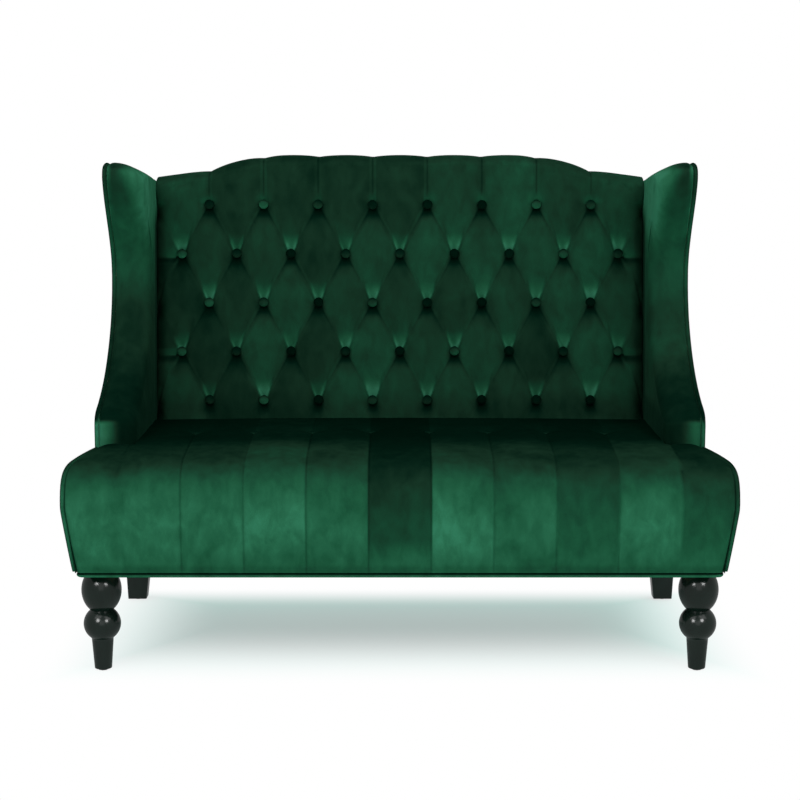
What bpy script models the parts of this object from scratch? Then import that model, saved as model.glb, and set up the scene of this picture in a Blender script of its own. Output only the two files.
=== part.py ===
"""Wingback loveseat: button-tufted velvet over a timber frame, on turned front legs.

The loveseat faces -Y and stands on Z = 0, with X = 0 on its plane of symmetry and
Y = 0 halfway between the seat front and the top of the outside back. Lengths are metres.
A setback is a distance behind the seat front, and a rise is a height above the frame's base.
"""

import math

import bmesh
import bpy
import numpy as np
from mathutils import Vector
from mathutils.geometry import interpolate_bezier

# Overall sizes
BODY_WIDTH = 1.228  # over the two outside panels
FRONT_OVERHANG = 0.041  # the seat front stands out past each outside panel
DEPTH = 0.710  # seat front to the top of the outside back
LEG_HEIGHT = 0.203  # floor to the frame's base
BACK_RISE = 0.797  # frame's base to the top of the crest welt
BACK_RAKE = math.radians(8.2)

# Fits
FIT = 0.0004  # gap between pieces that touch
CUT = 0.05  # how far a cutter runs past what it cuts
FLAT_ANGLE = math.radians(0.05)  # faces closer than this to one plane are one face

# Welts (piping round a cord)
WELT_RADIUS = 0.0045
WELT_GAP = 0.0008  # between a welt and the curved cover beside it
WELT_CORNER = 0.002  # how far the base welt stands in from the cover's edge

# Timber frame
RAIL_HEIGHT = 0.100
RAIL_THICK = 0.022
RAIL_EASE = 0.002
FRONT_RAIL_SETBACK = 0.040
BLOCK_WIDTH = 0.090
BLOCK_DEPTH = 0.078
BLOCK_INSET = 0.014  # inside the outside panel
BLOCK_HEIGHT = 0.080
REAR_BLOCK_WIDTH = 0.065
REAR_BLOCK_DEPTH = 0.072
SIDE_RAIL_THICK = 0.025
BACK_TIMBER = 0.028  # thickness of the posts, slats and rails of the back
REAR_RAIL_LIFT = 0.0045
POST_WIDTH = 0.030
POST_INSET = 0.0155  # inside the side rail
SLAT_WIDTH = 0.050
SLAT_SPACING = 0.380
LOWER_RAIL_RISE = 0.175
LOWER_RAIL_WIDTH = 0.060
CREST_RAIL_WIDTH = 0.110
STRETCHER_WIDTH = 0.060
STRETCHER_HEIGHT = 0.050
WING_BOARD = 0.018
WING_BOARD_INSET = 0.020

# Outside covers
PANEL_THICK = 0.004
PANEL_EASE = 0.0012  # between a side panel and its welt
DUST_COVER_THICK = 0.001
DUST_COVER_INSET = 0.012
DUST_COVER_NOTCH = 0.085

# Side outline of arm and wing
ARM_SETBACK = 0.190
ARM_RISE = 0.300
ARM_NOSE = 0.032  # radius of the arm's front edge
ARM_SLOPE = 0.28
HOLLOW_REACH = 0.238  # hollow of the wing to the rear of the back
HOLLOW_RISE = 0.554
EAR_REACH = 0.3415  # where the ear's front edge ends, to the rear of the back
EAR_TOP_REACH = 0.298
EAR_DROP = 0.012  # top of the crest welt down to the top of the ear
EAR_FALL = 0.034  # how far the ear's top falls on its way to the rear
EAR_FRONT_DROP = 0.039  # top of the ear down to where its front edge ends
EAR_LEAN = Vector((-0.35, 0.94))
ARM_SWEEP = 0.35  # how full each curve of the outline is, as a share of its chord
WING_CLIMB = 0.30
EAR_TIP = 0.60
NOSE_TURN = 0.40
ARM_PAD = 0.078  # thickness of the padding inside the outside panel
PAD_ROLL = 0.034

# Crest line of the back, across the width
CREST_FLAT = 0.250
CREST_SHOULDER = 0.4165
SHOULDER_DROP = 0.032
CREST_SLOPE = 0.14
CREST_PADDING = 0.014

# Tufted inside back
BACK_PAD = 0.070
BACK_PAD_RISE = 0.140  # along the back, from the base to the pad's lower edge
BACK_ROLL = 0.030
SIDE_ROLL = 0.014
TUFT_DEPTH = 0.028
TUFT_PITCH = 0.119
TUFT_ROW_PITCH = 0.1066
TUFT_TOP_DROP = 0.1137
TUFT_EDGE = 0.036  # least distance from a button to the pad's edge
CREST_NOTCH = 0.22  # share of the tuft depth left in the pleats at the crest
CREST_DIP = 0.5  # how far a pleat dips the crest line, as a share of its depth there
CREST_FADE = 0.7  # share of a row in which the pleats shallow above the top row
PILLOW_SHARE = 0.55  # how far a diamond is a round pillow rather than four sharp folds
WEBBING_THICK = 0.002
WEBBING_WIDTH = 0.050
WEBBING_ROWS = (1, 3)  # each web crosses above the button row of this number

# Covered buttons and their twine
BUTTON_RADIUS = 0.011
BUTTON_THICK = 0.011
BUTTON_STANDOFF = 0.006
TWINE_WIDTH = 0.003
TWINE_THICK = 0.0018  # thickness of the twine where it lies behind the pad
TWINE_OFFSET = 0.0025  # the twine passes beside the loop at a button's middle

# Seat
SEAT_RISE = 0.239
SEAT_CROWN = 0.010
SEAT_CROWN_SETBACK = 0.290
SEAT_CROWN_HALF = 0.230
SEAT_SIDE_FALL = 0.004
SEAT_LIP = 0.0095  # frame's base to the cover's lower edge
FRONT_BOTTOM_SETBACK = 0.012
FRONT_BULGE_RISE = 0.137
FRONT_ROLL_SETBACK = 0.075
FRONT_ROLL_FALL = 0.006  # slope of the roll where it meets the top
FRONT_ROLL_FULL = 0.6  # how full the roll is, as a share of its height
FRONT_TAPER = 0.018
FRONT_FLARE = 1.5  # how suddenly the front flares ahead of the arm
SEAT_END_ROLL = 0.012
FRONT_END_ROLL = 0.018
SEAT_PLEAT_PITCH = 0.1208
SEAT_PLEAT_DEPTH = 0.004
SEAT_PLEAT_HALF = 0.014
SEAT_TUFT_DEPTH = 0.012
SEAT_TUFT_SLOPE = 0.4  # share of the tuft depth lost at the side of a pleat
SEAT_BUTTON_SETBACK = 0.335
SEAT_GAP = 0.0025  # seat to the inside back

# Suspension
SPRING_COUNT = 7
SPRING_WIRE = 0.0036
SPRING_HALF_WIDTH = 0.024
SPRING_BENDS = 12
SPRING_BEND_STEPS = 3
SPRING_SQUARE = 1.5  # how square the bends are, from 1 for round ones
SPRING_ARCH = 0.022
SPRING_SPAN = 1.000
FELT_THICK = 0.006

# Legs
FRONT_LEG_SETBACK = 0.078
FRONT_LEG_INSET = 0.025  # leg axis inside the outside panel
BALL_RADIUS = 0.0395
BALL_HEIGHT = 0.0793
LOWER_BALL_RADIUS = 0.0367
LOWER_BALL_HEIGHT = 0.0575
NECK_RADIUS = 0.0228
LEG_TOP_RADIUS = 0.0230
TAPER_TOP_RADIUS = 0.0216
FOOT_RADIUS = 0.0171
FOOT_EASE = 0.003
REAR_LEG_TOP = (0.070, 0.050)
REAR_LEG_FOOT = (0.0415, 0.040)
REAR_LEG_SPLAY = 0.058
REAR_LEG_EASE = 0.004
LEG_BOLT_RADIUS = 0.004
LEG_BOLT_LENGTH = 0.070
GLIDE_RADIUS = 0.011
GLIDE_THICK = 0.003
GLIDE_EASE = 0.15  # share of the radius eased off at the floor
LEG_SEAT_GAP = 0.0005

# Worked-out places
FRONT = -DEPTH / 2
BASE = LEG_HEIGHT
BODY_HALF = BODY_WIDTH / 2
SEAT_HALF = BODY_HALF + FRONT_OVERHANG - 2 * WELT_RADIUS - WELT_GAP
INNER_HALF = BODY_HALF - PANEL_THICK - ARM_PAD
BOARD_OUTER = BODY_HALF - PANEL_THICK - FIT
BOARD_INNER = BOARD_OUTER - WING_BOARD
SIDE_RAIL_OUTER = BOARD_INNER - FIT
SIDE_RAIL_INNER = SIDE_RAIL_OUTER - SIDE_RAIL_THICK
BLOCK_OUTER = BODY_HALF - BLOCK_INSET
FRONT_BLOCK_SETBACK = FRONT_RAIL_SETBACK + RAIL_THICK + FIT
POST_OUTER = SIDE_RAIL_OUTER - POST_INSET
POST_INNER = POST_OUTER - POST_WIDTH
RAIL_TOP = BASE + RAIL_HEIGHT
SPRING_BASE = RAIL_TOP + FIT + SPRING_WIRE / 2
FELT_BASE = SPRING_BASE + SPRING_ARCH + SPRING_WIRE / 2 + FIT
DECK = FELT_BASE + FELT_THICK + TWINE_THICK + 2 * FIT  # underside of the seat pad
SIN_RAKE, COS_RAKE = math.sin(BACK_RAKE), math.cos(BACK_RAKE)
CROWN = (
    (BACK_RISE - WELT_RADIUS + BACK_TIMBER * SIN_RAKE) / COS_RAKE - WELT_RADIUS - FIT
)
WELT_UP = CROWN + WELT_RADIUS + FIT
BACK_FOOT_Y = (
    DEPTH / 2 - WELT_RADIUS - WELT_UP * SIN_RAKE - BACK_TIMBER * COS_RAKE
)
REAR_RAIL_TOP = RAIL_HEIGHT / COS_RAKE  # up the back
PAD_REAR = -WEBBING_THICK - 2 * FIT
PAD_FRONT = PAD_REAR - BACK_PAD
SEAT_TOP = BASE + SEAT_RISE
SEAT_LOW = BASE + SEAT_LIP
EAR_RISE = BACK_RISE - EAR_DROP

GREEN_VELVET = ("green_velvet", (0.018, 0.105, 0.062), 0.85, 0.0)
BLACK_LACQUER = ("black_lacquer", (0.012, 0.014, 0.013), 0.28, 0.0)
BEECH = ("beech", (0.52, 0.36, 0.22), 0.6, 0.0)
PLYWOOD = ("plywood", (0.60, 0.46, 0.30), 0.65, 0.0)
SPRING_STEEL = ("spring_steel", (0.42, 0.42, 0.43), 0.35, 1.0)
ZINC = ("zinc", (0.62, 0.62, 0.60), 0.4, 1.0)
WEBBING = ("webbing", (0.10, 0.09, 0.08), 0.9, 0.0)
FELT = ("felt", (0.34, 0.33, 0.31), 0.95, 0.0)
CAMBRIC = ("cambric", (0.010, 0.010, 0.011), 0.9, 0.0)
NYLON = ("nylon", (0.04, 0.04, 0.04), 0.5, 0.0)


# Scene, collections and helpers


def clear_scene():
    for obj in list(bpy.data.objects):
        bpy.data.objects.remove(obj)


def new_collection(name):
    made = bpy.data.collections.new(name)
    bpy.context.scene.collection.children.link(made)
    return made


clear_scene()
PARTS = new_collection("wingback_loveseat")
CUTTERS = new_collection("cutters")


def material(finish):
    name, colour, roughness, metallic = finish
    made = bpy.data.materials.get(name)
    if made is None:
        made = bpy.data.materials.new(name)
        made.use_nodes = True
        shader = made.node_tree.nodes["Principled BSDF"]
        shader.inputs["Base Color"].default_value = (*colour, 1.0)
        shader.inputs["Roughness"].default_value = roughness
        shader.inputs["Metallic"].default_value = metallic
    return made


def place(obj, finish=None, parent=None):
    """Links obj as a part, or as a cutter where it has no finish."""
    if finish:
        PARTS.objects.link(obj)
        obj.data.materials.append(material(finish))
    else:
        CUTTERS.objects.link(obj)
        obj.hide_render = True
        obj.display_type = "WIRE"
    obj.parent = parent
    return obj


def from_bmesh(name, bm, finish=None, parent=None, smooth=None):
    bmesh.ops.recalc_face_normals(bm, faces=bm.faces)
    mesh = bpy.data.meshes.new(name)
    bm.to_mesh(mesh)
    bm.free()
    if smooth is not None:
        mesh.shade_smooth()
        mesh.set_sharp_from_angle(angle=math.radians(smooth))
    return place(bpy.data.objects.new(name, mesh), finish, parent)


def box(name, low, high, finish=None, parent=None, ease=0.0):
    """A block between two corners, with its edges eased."""
    bm = bmesh.new()
    bmesh.ops.create_cube(bm, size=1.0)
    low, high = Vector(low), Vector(high)
    bmesh.ops.scale(bm, vec=high - low, verts=bm.verts)
    obj = from_bmesh(name, bm, finish, parent)
    obj.location = (low + high) / 2
    if ease:
        bevel = obj.modifiers.new("ease", "BEVEL")
        bevel.width = ease
        bevel.segments = 1
    return obj


def flat(name, outline, low, high, turn, finish=None, parent=None):
    """A flat outline in its own XY plane, turned, and filling low to high along its Z."""
    curve = bpy.data.curves.new(name, "CURVE")
    curve.dimensions = "2D"
    curve.fill_mode = "BOTH"
    curve.extrude = (high - low) / 2
    spline = curve.splines.new("POLY")
    spline.points.add(len(outline) - 1)
    for point, (across, up) in zip(spline.points, outline):
        point.co = (across, up, 0.0, 1.0)
    spline.use_cyclic_u = True
    obj = place(bpy.data.objects.new(name, curve), finish, parent)
    obj.rotation_euler = turn
    obj.location = obj.rotation_euler.to_matrix() @ Vector((0, 0, (low + high) / 2))
    return obj


SIDEWAYS = (math.pi / 2, 0, math.pi / 2)  # outline (y, z), thickness along +X
UPRIGHT = (math.pi / 2, 0, 0)  # outline (x, z), thickness along -Y
LEVEL = (0, 0, 0)  # outline (x, y), thickness along +Z


def tube(name, points, radius, finish, parent=None, sides=1):
    """A round cord along points."""
    curve = bpy.data.curves.new(name, "CURVE")
    curve.dimensions = "3D"
    curve.bevel_depth = radius
    curve.bevel_resolution = sides
    curve.use_fill_caps = True
    spline = curve.splines.new("POLY")
    spline.points.add(len(points) - 1)
    for point, where in zip(spline.points, points):
        point.co = (*where, 1.0)
    return place(bpy.data.objects.new(name, curve), finish, parent)


def as_mesh(obj):
    """obj made a mesh with its caps welded on and whole, to be cut or be a cutter."""
    bpy.context.view_layer.update()
    graph = bpy.context.evaluated_depsgraph_get()
    mesh = bpy.data.meshes.new_from_object(obj.evaluated_get(graph))
    bm = bmesh.new()
    bm.from_mesh(mesh)
    bmesh.ops.remove_doubles(bm, verts=bm.verts, dist=1e-6)
    bmesh.ops.dissolve_degenerate(bm, dist=1e-6, edges=bm.edges)
    bmesh.ops.dissolve_limit(bm, angle_limit=FLAT_ANGLE, verts=bm.verts, edges=bm.edges)
    bmesh.ops.recalc_face_normals(bm, faces=bm.faces)
    bm.to_mesh(mesh)
    bm.free()
    name, world = obj.name, obj.matrix_world.copy()
    homes = list(obj.users_collection)
    shown = (obj.hide_render, obj.display_type)
    bpy.data.objects.remove(obj)
    made = bpy.data.objects.new(name, mesh)
    for home in homes:
        home.objects.link(made)
    made.hide_render, made.display_type = shown
    made.matrix_world = world
    return made


def combine(obj, others, operation):
    """Cuts others from obj, or joins them to it, one after another."""
    for other in others:
        step = obj.modifiers.new(other.name, "BOOLEAN")
        step.operation = operation
        step.object = other
        step.solver = "EXACT"


def smooth_step(t):
    t = np.clip(t, 0.0, 1.0)
    return t * t * (3 - 2 * t)


# The raked back: local X across, local Y rearward from the timber's front, local Z up


def raked(up, rearward):
    """World y and z of a point on the back."""
    y = BACK_FOOT_Y + up * SIN_RAKE + rearward * COS_RAKE
    z = BASE + up * COS_RAKE - rearward * SIN_RAKE
    return y, z


def raked_at(z, rearward):
    """World y of the plane that lies rearward of the back timber's front, at height z."""
    up = (z - BASE + rearward * SIN_RAKE) / COS_RAKE
    return raked(up, rearward)[0]


def crest_line(x):
    """Height along the back of the padded crest: flat, an arc to each shoulder, then a slope."""
    x = np.abs(x)
    ramp = np.clip((x - CREST_FLAT) / (CREST_SHOULDER - CREST_FLAT), 0.0, 1.0)
    drop = SHOULDER_DROP * ramp**2
    return CROWN - drop - CREST_SLOPE * np.maximum(0.0, x - CREST_SHOULDER)


back_frame = bpy.data.objects.new("back_frame", None)
PARTS.objects.link(back_frame)
back_frame.location = (0, BACK_FOOT_Y, BASE)
back_frame.rotation_euler = (-BACK_RAKE, 0, 0)

SIDES = (("left", -1), ("right", 1))


def mirrored(sign, inner, outer):
    """The lower and higher x of a piece that spans inner to outer on one side."""
    return sorted((sign * inner, sign * outer))


# Side outline, shared by the wing boards, pads, outside panels and welts


def side_outline(inset, base, rearward):
    """(y, z) points up the arm's front, over the arm, up the wing and back along its top.

    It starts at height base and ends on the plane rearward of the back timber's front. An
    inset moves each of the outline's key points inwards, square to the outline.
    """
    rear = DEPTH / 2
    slope = Vector((1.0, ARM_SLOPE)).normalized()
    lean = EAR_LEAN.normalized()
    up, back = Vector((0, 1)), Vector((1, 0))
    front = Vector((FRONT + ARM_SETBACK + inset, base))
    nose = Vector((FRONT + ARM_SETBACK + ARM_NOSE, BASE + ARM_RISE))
    start = Vector((front.x, nose.y - ARM_NOSE - inset / 2))
    nose += inset * Vector((slope.y, -slope.x))
    hollow = Vector((rear - HOLLOW_REACH + inset, BASE + HOLLOW_RISE))
    ear = Vector((rear - EAR_REACH, BASE + EAR_RISE - EAR_FRONT_DROP))
    ear += inset * (Vector((lean.y, -lean.x)) - lean)
    top = Vector((rear - EAR_TOP_REACH + inset, BASE + EAR_RISE - inset))
    low = top.y - EAR_FALL
    end = Vector((raked_at(low, rearward), low))
    sweep = ARM_SWEEP * (hollow - nose).length
    climb = WING_CLIMB * (ear - hollow).length
    tip = EAR_TIP * (top - ear).length
    turn = NOSE_TURN * (nose - start).length
    return np.array(
        [front, *(front.lerp(start, t) for t in (0.4, 0.8))]
        + interpolate_bezier(start, start + up * turn, nose - slope * turn, nose, 5)[:-1]
        + interpolate_bezier(nose, nose + slope * sweep, hollow - up * sweep, hollow, 9)[:-1]
        + interpolate_bezier(hollow, hollow + up * climb, ear - lean * climb, ear, 7)[:-1]
        + interpolate_bezier(ear, ear + lean * tip, top - back * tip, top, 7)[:-1]
        + [top.lerp(end, t) for t in (0.0, 0.5, 1.0)]
    )


def closed_side(inset, base, rearward):
    """The inset outline closed by the raked back and a level base."""
    line = side_outline(inset, base, rearward)
    return [*map(tuple, line), (raked_at(base, rearward), base)]


# Timber frame


def make_seat_frame():
    front_y = FRONT + FRONT_RAIL_SETBACK
    block_y = FRONT + FRONT_BLOCK_SETBACK
    side_y = block_y + BLOCK_DEPTH + FIT
    rear_y = raked_at(BASE, 0.0) - FIT
    box(
        "front_rail",
        (-BLOCK_OUTER, front_y, BASE),
        (BLOCK_OUTER, front_y + RAIL_THICK, RAIL_TOP),
        BEECH,
        ease=RAIL_EASE,
    )
    box(
        "rear_rail",
        (-SIDE_RAIL_OUTER, 0.0, REAR_RAIL_LIFT),
        (SIDE_RAIL_OUTER, BACK_TIMBER, REAR_RAIL_TOP),
        BEECH,
        back_frame,
        ease=RAIL_EASE,
    )
    stretcher_top = RAIL_TOP - (RAIL_HEIGHT - STRETCHER_HEIGHT)
    box(
        "seat_stretcher",
        (-STRETCHER_WIDTH / 2, block_y, BASE),
        (STRETCHER_WIDTH / 2, rear_y, stretcher_top),
        BEECH,
        ease=RAIL_EASE,
    )
    for side, sign in SIDES:
        low_x, high_x = mirrored(sign, SIDE_RAIL_INNER, SIDE_RAIL_OUTER)
        box(
            f"{side}_side_rail",
            (low_x, side_y, BASE),
            (high_x, rear_y, RAIL_TOP),
            BEECH,
            ease=RAIL_EASE,
        )
        low_x, high_x = mirrored(sign, BLOCK_OUTER - BLOCK_WIDTH, BLOCK_OUTER)
        box(
            f"front_{side}_corner_block",
            (low_x, block_y, BASE),
            (high_x, block_y + BLOCK_DEPTH, BASE + BLOCK_HEIGHT),
            BEECH,
            ease=RAIL_EASE,
        )
        inner = SIDE_RAIL_INNER - FIT
        low_x, high_x = mirrored(sign, inner - REAR_BLOCK_WIDTH, inner)
        box(
            f"rear_{side}_corner_block",
            (low_x, rear_y - REAR_BLOCK_DEPTH, BASE),
            (high_x, rear_y, BASE + BLOCK_HEIGHT),
            BEECH,
            ease=RAIL_EASE,
        )


def crest_places(half):
    """Places across the crest, close together where it curves."""
    curve = np.linspace(CREST_FLAT, CREST_SHOULDER, 7)
    right = [*curve[curve < half], half]
    return np.array([*(-x for x in right[::-1]), *right])


def crest_outline(half, low, drop):
    """(x, up) round a board whose top runs drop below the padded crest."""
    xs = crest_places(half)[::-1]
    return [(half, low), *zip(xs, crest_line(xs) - drop), (-half, low)]


POST_BASE = REAR_RAIL_TOP + FIT
POST_TOP = float(crest_line(POST_OUTER)) - CREST_PADDING - FIT
CREST_BASE = float(crest_line(0.0)) - CREST_PADDING - CREST_RAIL_WIDTH
CREST_END = POST_INNER - FIT


def make_back_frame():
    for side, sign in SIDES:
        low_x, high_x = mirrored(sign, POST_INNER, POST_OUTER)
        box(
            f"{side}_back_post",
            (low_x, 0.0, POST_BASE),
            (high_x, BACK_TIMBER, POST_TOP),
            BEECH,
            back_frame,
            ease=RAIL_EASE,
        )
        middle = sign * SLAT_SPACING / 2
        box(
            f"{side}_back_slat",
            (middle - SLAT_WIDTH / 2, 0.0, LOWER_RAIL_RISE + LOWER_RAIL_WIDTH + FIT),
            (middle + SLAT_WIDTH / 2, BACK_TIMBER, CREST_BASE - FIT),
            BEECH,
            back_frame,
            ease=RAIL_EASE,
        )
    box(
        "lower_back_rail",
        (-CREST_END, 0.0, LOWER_RAIL_RISE),
        (CREST_END, BACK_TIMBER, LOWER_RAIL_RISE + LOWER_RAIL_WIDTH),
        BEECH,
        back_frame,
        ease=RAIL_EASE,
    )
    flat(
        "crest_rail",
        crest_outline(CREST_END, CREST_BASE, CREST_PADDING),
        -BACK_TIMBER,
        0.0,
        UPRIGHT,
        BEECH,
        back_frame,
    )


def make_wing_boards():
    outline = closed_side(WING_BOARD_INSET, BASE + FIT, BACK_TIMBER)
    for side, sign in SIDES:
        low_x, high_x = mirrored(sign, BOARD_INNER, BOARD_OUTER)
        flat(f"{side}_wing_board", outline, low_x, high_x, SIDEWAYS, PLYWOOD)


# Suspension


def make_springs():
    """Sinuous springs, arched from the front rail's top to the rear rail's top."""
    start = FRONT + FRONT_RAIL_SETBACK + RAIL_THICK / 2
    end, end_z = raked(REAR_RAIL_TOP, BACK_TIMBER / 2)
    end_z += 2 * FIT + SPRING_WIRE / 2
    along = np.linspace(0.0, 1.0, SPRING_BENDS * SPRING_BEND_STEPS + 1)
    swing = np.clip(SPRING_SQUARE * np.sin(along * SPRING_BENDS * math.pi), -1.0, 1.0)
    ys = start + along * (end - start)
    zs = SPRING_BASE + along * (end_z - SPRING_BASE) + SPRING_ARCH * np.sin(along * math.pi)
    pitch = SPRING_SPAN / SPRING_COUNT
    for number in range(SPRING_COUNT):
        middle = (number - (SPRING_COUNT - 1) / 2) * pitch
        xs = middle + SPRING_HALF_WIDTH * swing
        points = list(zip(xs, ys, zs))
        tube(f"seat_spring_{number + 1}", points, SPRING_WIRE / 2, SPRING_STEEL, sides=0)


def make_felt():
    half = INNER_HALF - FIT
    low_y = FRONT + FRONT_BLOCK_SETBACK
    high_y = raked_at(DECK, PAD_FRONT) - SEAT_GAP
    low, high = (-half, low_y, FELT_BASE), (half, high_y, FELT_BASE + FELT_THICK)
    box("spring_felt", low, high, FELT)


# Tufted inside back


def tuft_columns(offset):
    """Button places across a row: offset 0 has one at the middle, 0.5 straddles it."""
    reach = (INNER_HALF - TUFT_EDGE) / TUFT_PITCH
    count = math.floor(reach - offset)
    steps = [offset + k for k in range(count + 1)]
    found = sorted({sign * step for step in steps for sign in (-1, 1)})
    return [TUFT_PITCH * step for step in found]


TOP_ROW = CROWN - TUFT_TOP_DROP
ROW_COUNT = 1 + math.floor((TOP_ROW - BACK_PAD_RISE - TUFT_EDGE) / TUFT_ROW_PITCH)
TUFT_ROWS = [
    (TOP_ROW - row * TUFT_ROW_PITCH, tuft_columns(0.5 if row % 2 == 0 else 0.0))
    for row in range(ROW_COUNT)
]
WIDEST = max(columns[-1] for _, columns in TUFT_ROWS) / TUFT_PITCH


def tuft_height(x, up):
    """Height of the tufted surface, 0 at a button to 1 at the middle of a diamond.

    The buttons are the whole-number points of two diagonal coordinates. Folds run along
    whole numbers of either, and rise between the buttons. Past the outer buttons the
    folds run straight to the edge, and above the top row they shallow towards the crest.
    """
    column = np.clip(x / TUFT_PITCH, -WIDEST, WIDEST)
    above = (TOP_ROW - up) / TUFT_ROW_PITCH
    row = np.clip(above, 0.0, ROW_COUNT - 1)
    a = np.pi * (column + row / 2 + 0.5)
    b = np.pi * (column - row / 2 + 0.5)
    pillow = np.sqrt(np.abs(np.sin(a) * np.sin(b)))
    fold = 1 - np.abs(np.cos(a) * np.cos(b))
    height = PILLOW_SHARE * pillow + (1 - PILLOW_SHARE) * fold
    crest = smooth_step(-above / CREST_FADE) * (1 - CREST_NOTCH)
    return height + (1 - height) * crest


def quad_grid(bm, points, keep=None):
    """Vertices and faces of a grid of points[row, column], leaving out cells not kept."""
    verts = [[bm.verts.new(p) for p in row] for row in points]
    for i in range(len(verts) - 1):
        for j in range(len(verts[0]) - 1):
            if keep is None or keep[i, j]:
                corners = (verts[i][j], verts[i][j + 1], verts[i + 1][j + 1], verts[i + 1][j])
                bm.faces.new(corners)
    return verts


def crease_grid(bm, points):
    """As quad_grid, with each cell split along its deeper diagonal, so that folds stay sharp."""
    verts = [[bm.verts.new(p) for p in row] for row in points]
    depth = points[:, :, 1]
    rising = depth[:-1, :-1] + depth[1:, 1:] > depth[:-1, 1:] + depth[1:, :-1]
    for i in range(len(verts) - 1):
        for j in range(len(verts[0]) - 1):
            a, b = verts[i][j], verts[i][j + 1]
            c, d = verts[i + 1][j + 1], verts[i + 1][j]
            halves = ((a, b, c), (a, c, d)) if rising[i, j] else ((a, b, d), (b, c, d))
            for half in halves:
                bm.faces.new(half)
    return verts


def make_back_cushion():
    """The tufted pad in the raked frame: its front and rolled top are one grid, closed behind."""
    half = INNER_HALF - FIT
    steps = math.floor(4 * half / TUFT_PITCH - 0.5)
    xs = TUFT_PITCH / 4 * np.arange(-steps, steps + 1)
    xs = np.array([-half, SIDE_ROLL / 2 - half, *xs[np.abs(xs) < half - SIDE_ROLL]])
    xs = np.array([*xs, half - SIDE_ROLL / 2, half])
    ups = TOP_ROW - TUFT_ROW_PITCH / 2 * np.arange(2 * ROW_COUNT - 2, -1, -1)
    ups = np.array([BACK_PAD_RISE, *ups])
    roll_start = CROWN - BACK_ROLL
    ups = np.array([*ups, (TOP_ROW + roll_start) / 2])
    x, up = np.meshgrid(xs, ups)
    edge = np.clip((half - np.abs(x)) / SIDE_ROLL, 0.0, 1.0)
    sides = np.sqrt(1 - (1 - edge) ** 2)
    drop = CROWN - crest_line(x)
    lowering = drop * smooth_step((up - TOP_ROW) / (roll_start - TOP_ROW))
    thick = BACK_PAD - TUFT_DEPTH * (1 - tuft_height(x, up) * (0.5 + 0.5 * sides))
    front = np.stack([x, PAD_REAR - thick, up - lowering], axis=2)
    rows = [front]
    notch = 1 - tuft_height(xs, np.full_like(xs, roll_start))
    for angle in np.radians((0, 45, 90)):
        reach = (BACK_PAD - TUFT_DEPTH * notch) * math.cos(angle)
        dip = TUFT_DEPTH * notch * CREST_DIP
        height = crest_line(xs) - BACK_ROLL * (1 - math.sin(angle)) - dip
        rows.append(np.stack([xs, PAD_REAR - reach, height], axis=1)[None])
    rear = np.stack([xs, np.full_like(xs, BACK_TIMBER - FIT), rows[-1][0, :, 2]], axis=1)
    rows.append(rear[None])
    bm = bmesh.new()
    verts = crease_grid(bm, np.concatenate(rows))
    base_up = BACK_PAD_RISE
    base = [bm.verts.new((x, BACK_TIMBER - FIT, base_up)) for x in (xs[0], xs[-1])]
    bm.faces.new([*verts[-1], base[1], base[0]])
    bm.faces.new([*verts[0][::-1], base[0], base[1]])
    bm.faces.new([base[0], *(row[0] for row in verts[::-1])])
    bm.faces.new([base[1], *(row[-1] for row in verts)])
    return from_bmesh("back_cushion", bm, GREEN_VELVET, back_frame, smooth=50)


def make_back_envelope():
    """Cutter with the outer shape of the back's timber and webbing."""
    half = POST_OUTER + FIT
    outline = crest_outline(half, -CUT, CREST_PADDING - FIT)
    envelope = flat(
        "back_envelope", outline, -BACK_TIMBER - CUT, -PAD_REAR, UPRIGHT, None, back_frame
    )
    return as_mesh(envelope)


def comb_outline(columns, tip, root, grow):
    """(x, y) round a straight twine that has a tooth, reaching forward, at each button."""
    half = TWINE_WIDTH / 2 + grow
    near, far = root + FIT, root + FIT + TWINE_THICK
    places = [x + TWINE_OFFSET for x in columns]
    teeth = [
        point
        for x in places
        for point in ((x - half, near), (x - half, tip), (x + half, tip), (x + half, near))
    ]
    return [(places[-1] + half, far), (places[0] - half, far), *teeth[1:-1]]


def make_button_row(name, columns, seat, root, up, parent):
    """Covered buttons on one length of twine behind the pad, and the cutter for their holes."""
    middle = seat - BUTTON_STANDOFF - BUTTON_THICK / 2
    low = up + TWINE_OFFSET - TWINE_WIDTH / 2
    high = low + TWINE_WIDTH
    outline = comb_outline(columns, middle, root, 0.0)
    row = as_mesh(flat(name, outline, low, high, LEVEL, GREEN_VELVET, parent))
    heads = []
    for x in columns:
        bm = bmesh.new()
        bmesh.ops.create_uvsphere(bm, u_segments=6, v_segments=4, radius=BUTTON_RADIUS)
        bmesh.ops.scale(bm, vec=(1, 1, BUTTON_THICK / 2 / BUTTON_RADIUS), verts=bm.verts)
        head = from_bmesh(f"{name}_head", bm, None, parent)
        head.rotation_euler = (math.pi / 2, 0, 0)
        head.location = (x, middle, up)
        heads.append(head)
    combine(row, heads, "UNION")
    outline = comb_outline(columns, middle - CUT, root, FIT)
    hole = flat(f"{name}_hole", outline, low - FIT, high + FIT, LEVEL, None, parent)
    return as_mesh(hole)


def make_tufted_back(envelope):
    cushion = make_back_cushion()
    seat = PAD_REAR - BACK_PAD + TUFT_DEPTH
    holes = [
        make_button_row(
            f"back_button_row_{number}", columns, seat, PAD_REAR, up, back_frame
        )
        for number, (up, columns) in enumerate(TUFT_ROWS, 1)
    ]
    combine(cushion, [envelope, *holes], "DIFFERENCE")
    for number, row in enumerate(WEBBING_ROWS, 1):
        middle = TUFT_ROWS[row][0] + TUFT_ROW_PITCH / 2
        box(
            f"back_web_{number}",
            (-POST_OUTER, -WEBBING_THICK - FIT, middle - WEBBING_WIDTH / 2),
            (POST_OUTER, -FIT, middle + WEBBING_WIDTH / 2),
            WEBBING,
            back_frame,
        )


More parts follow.
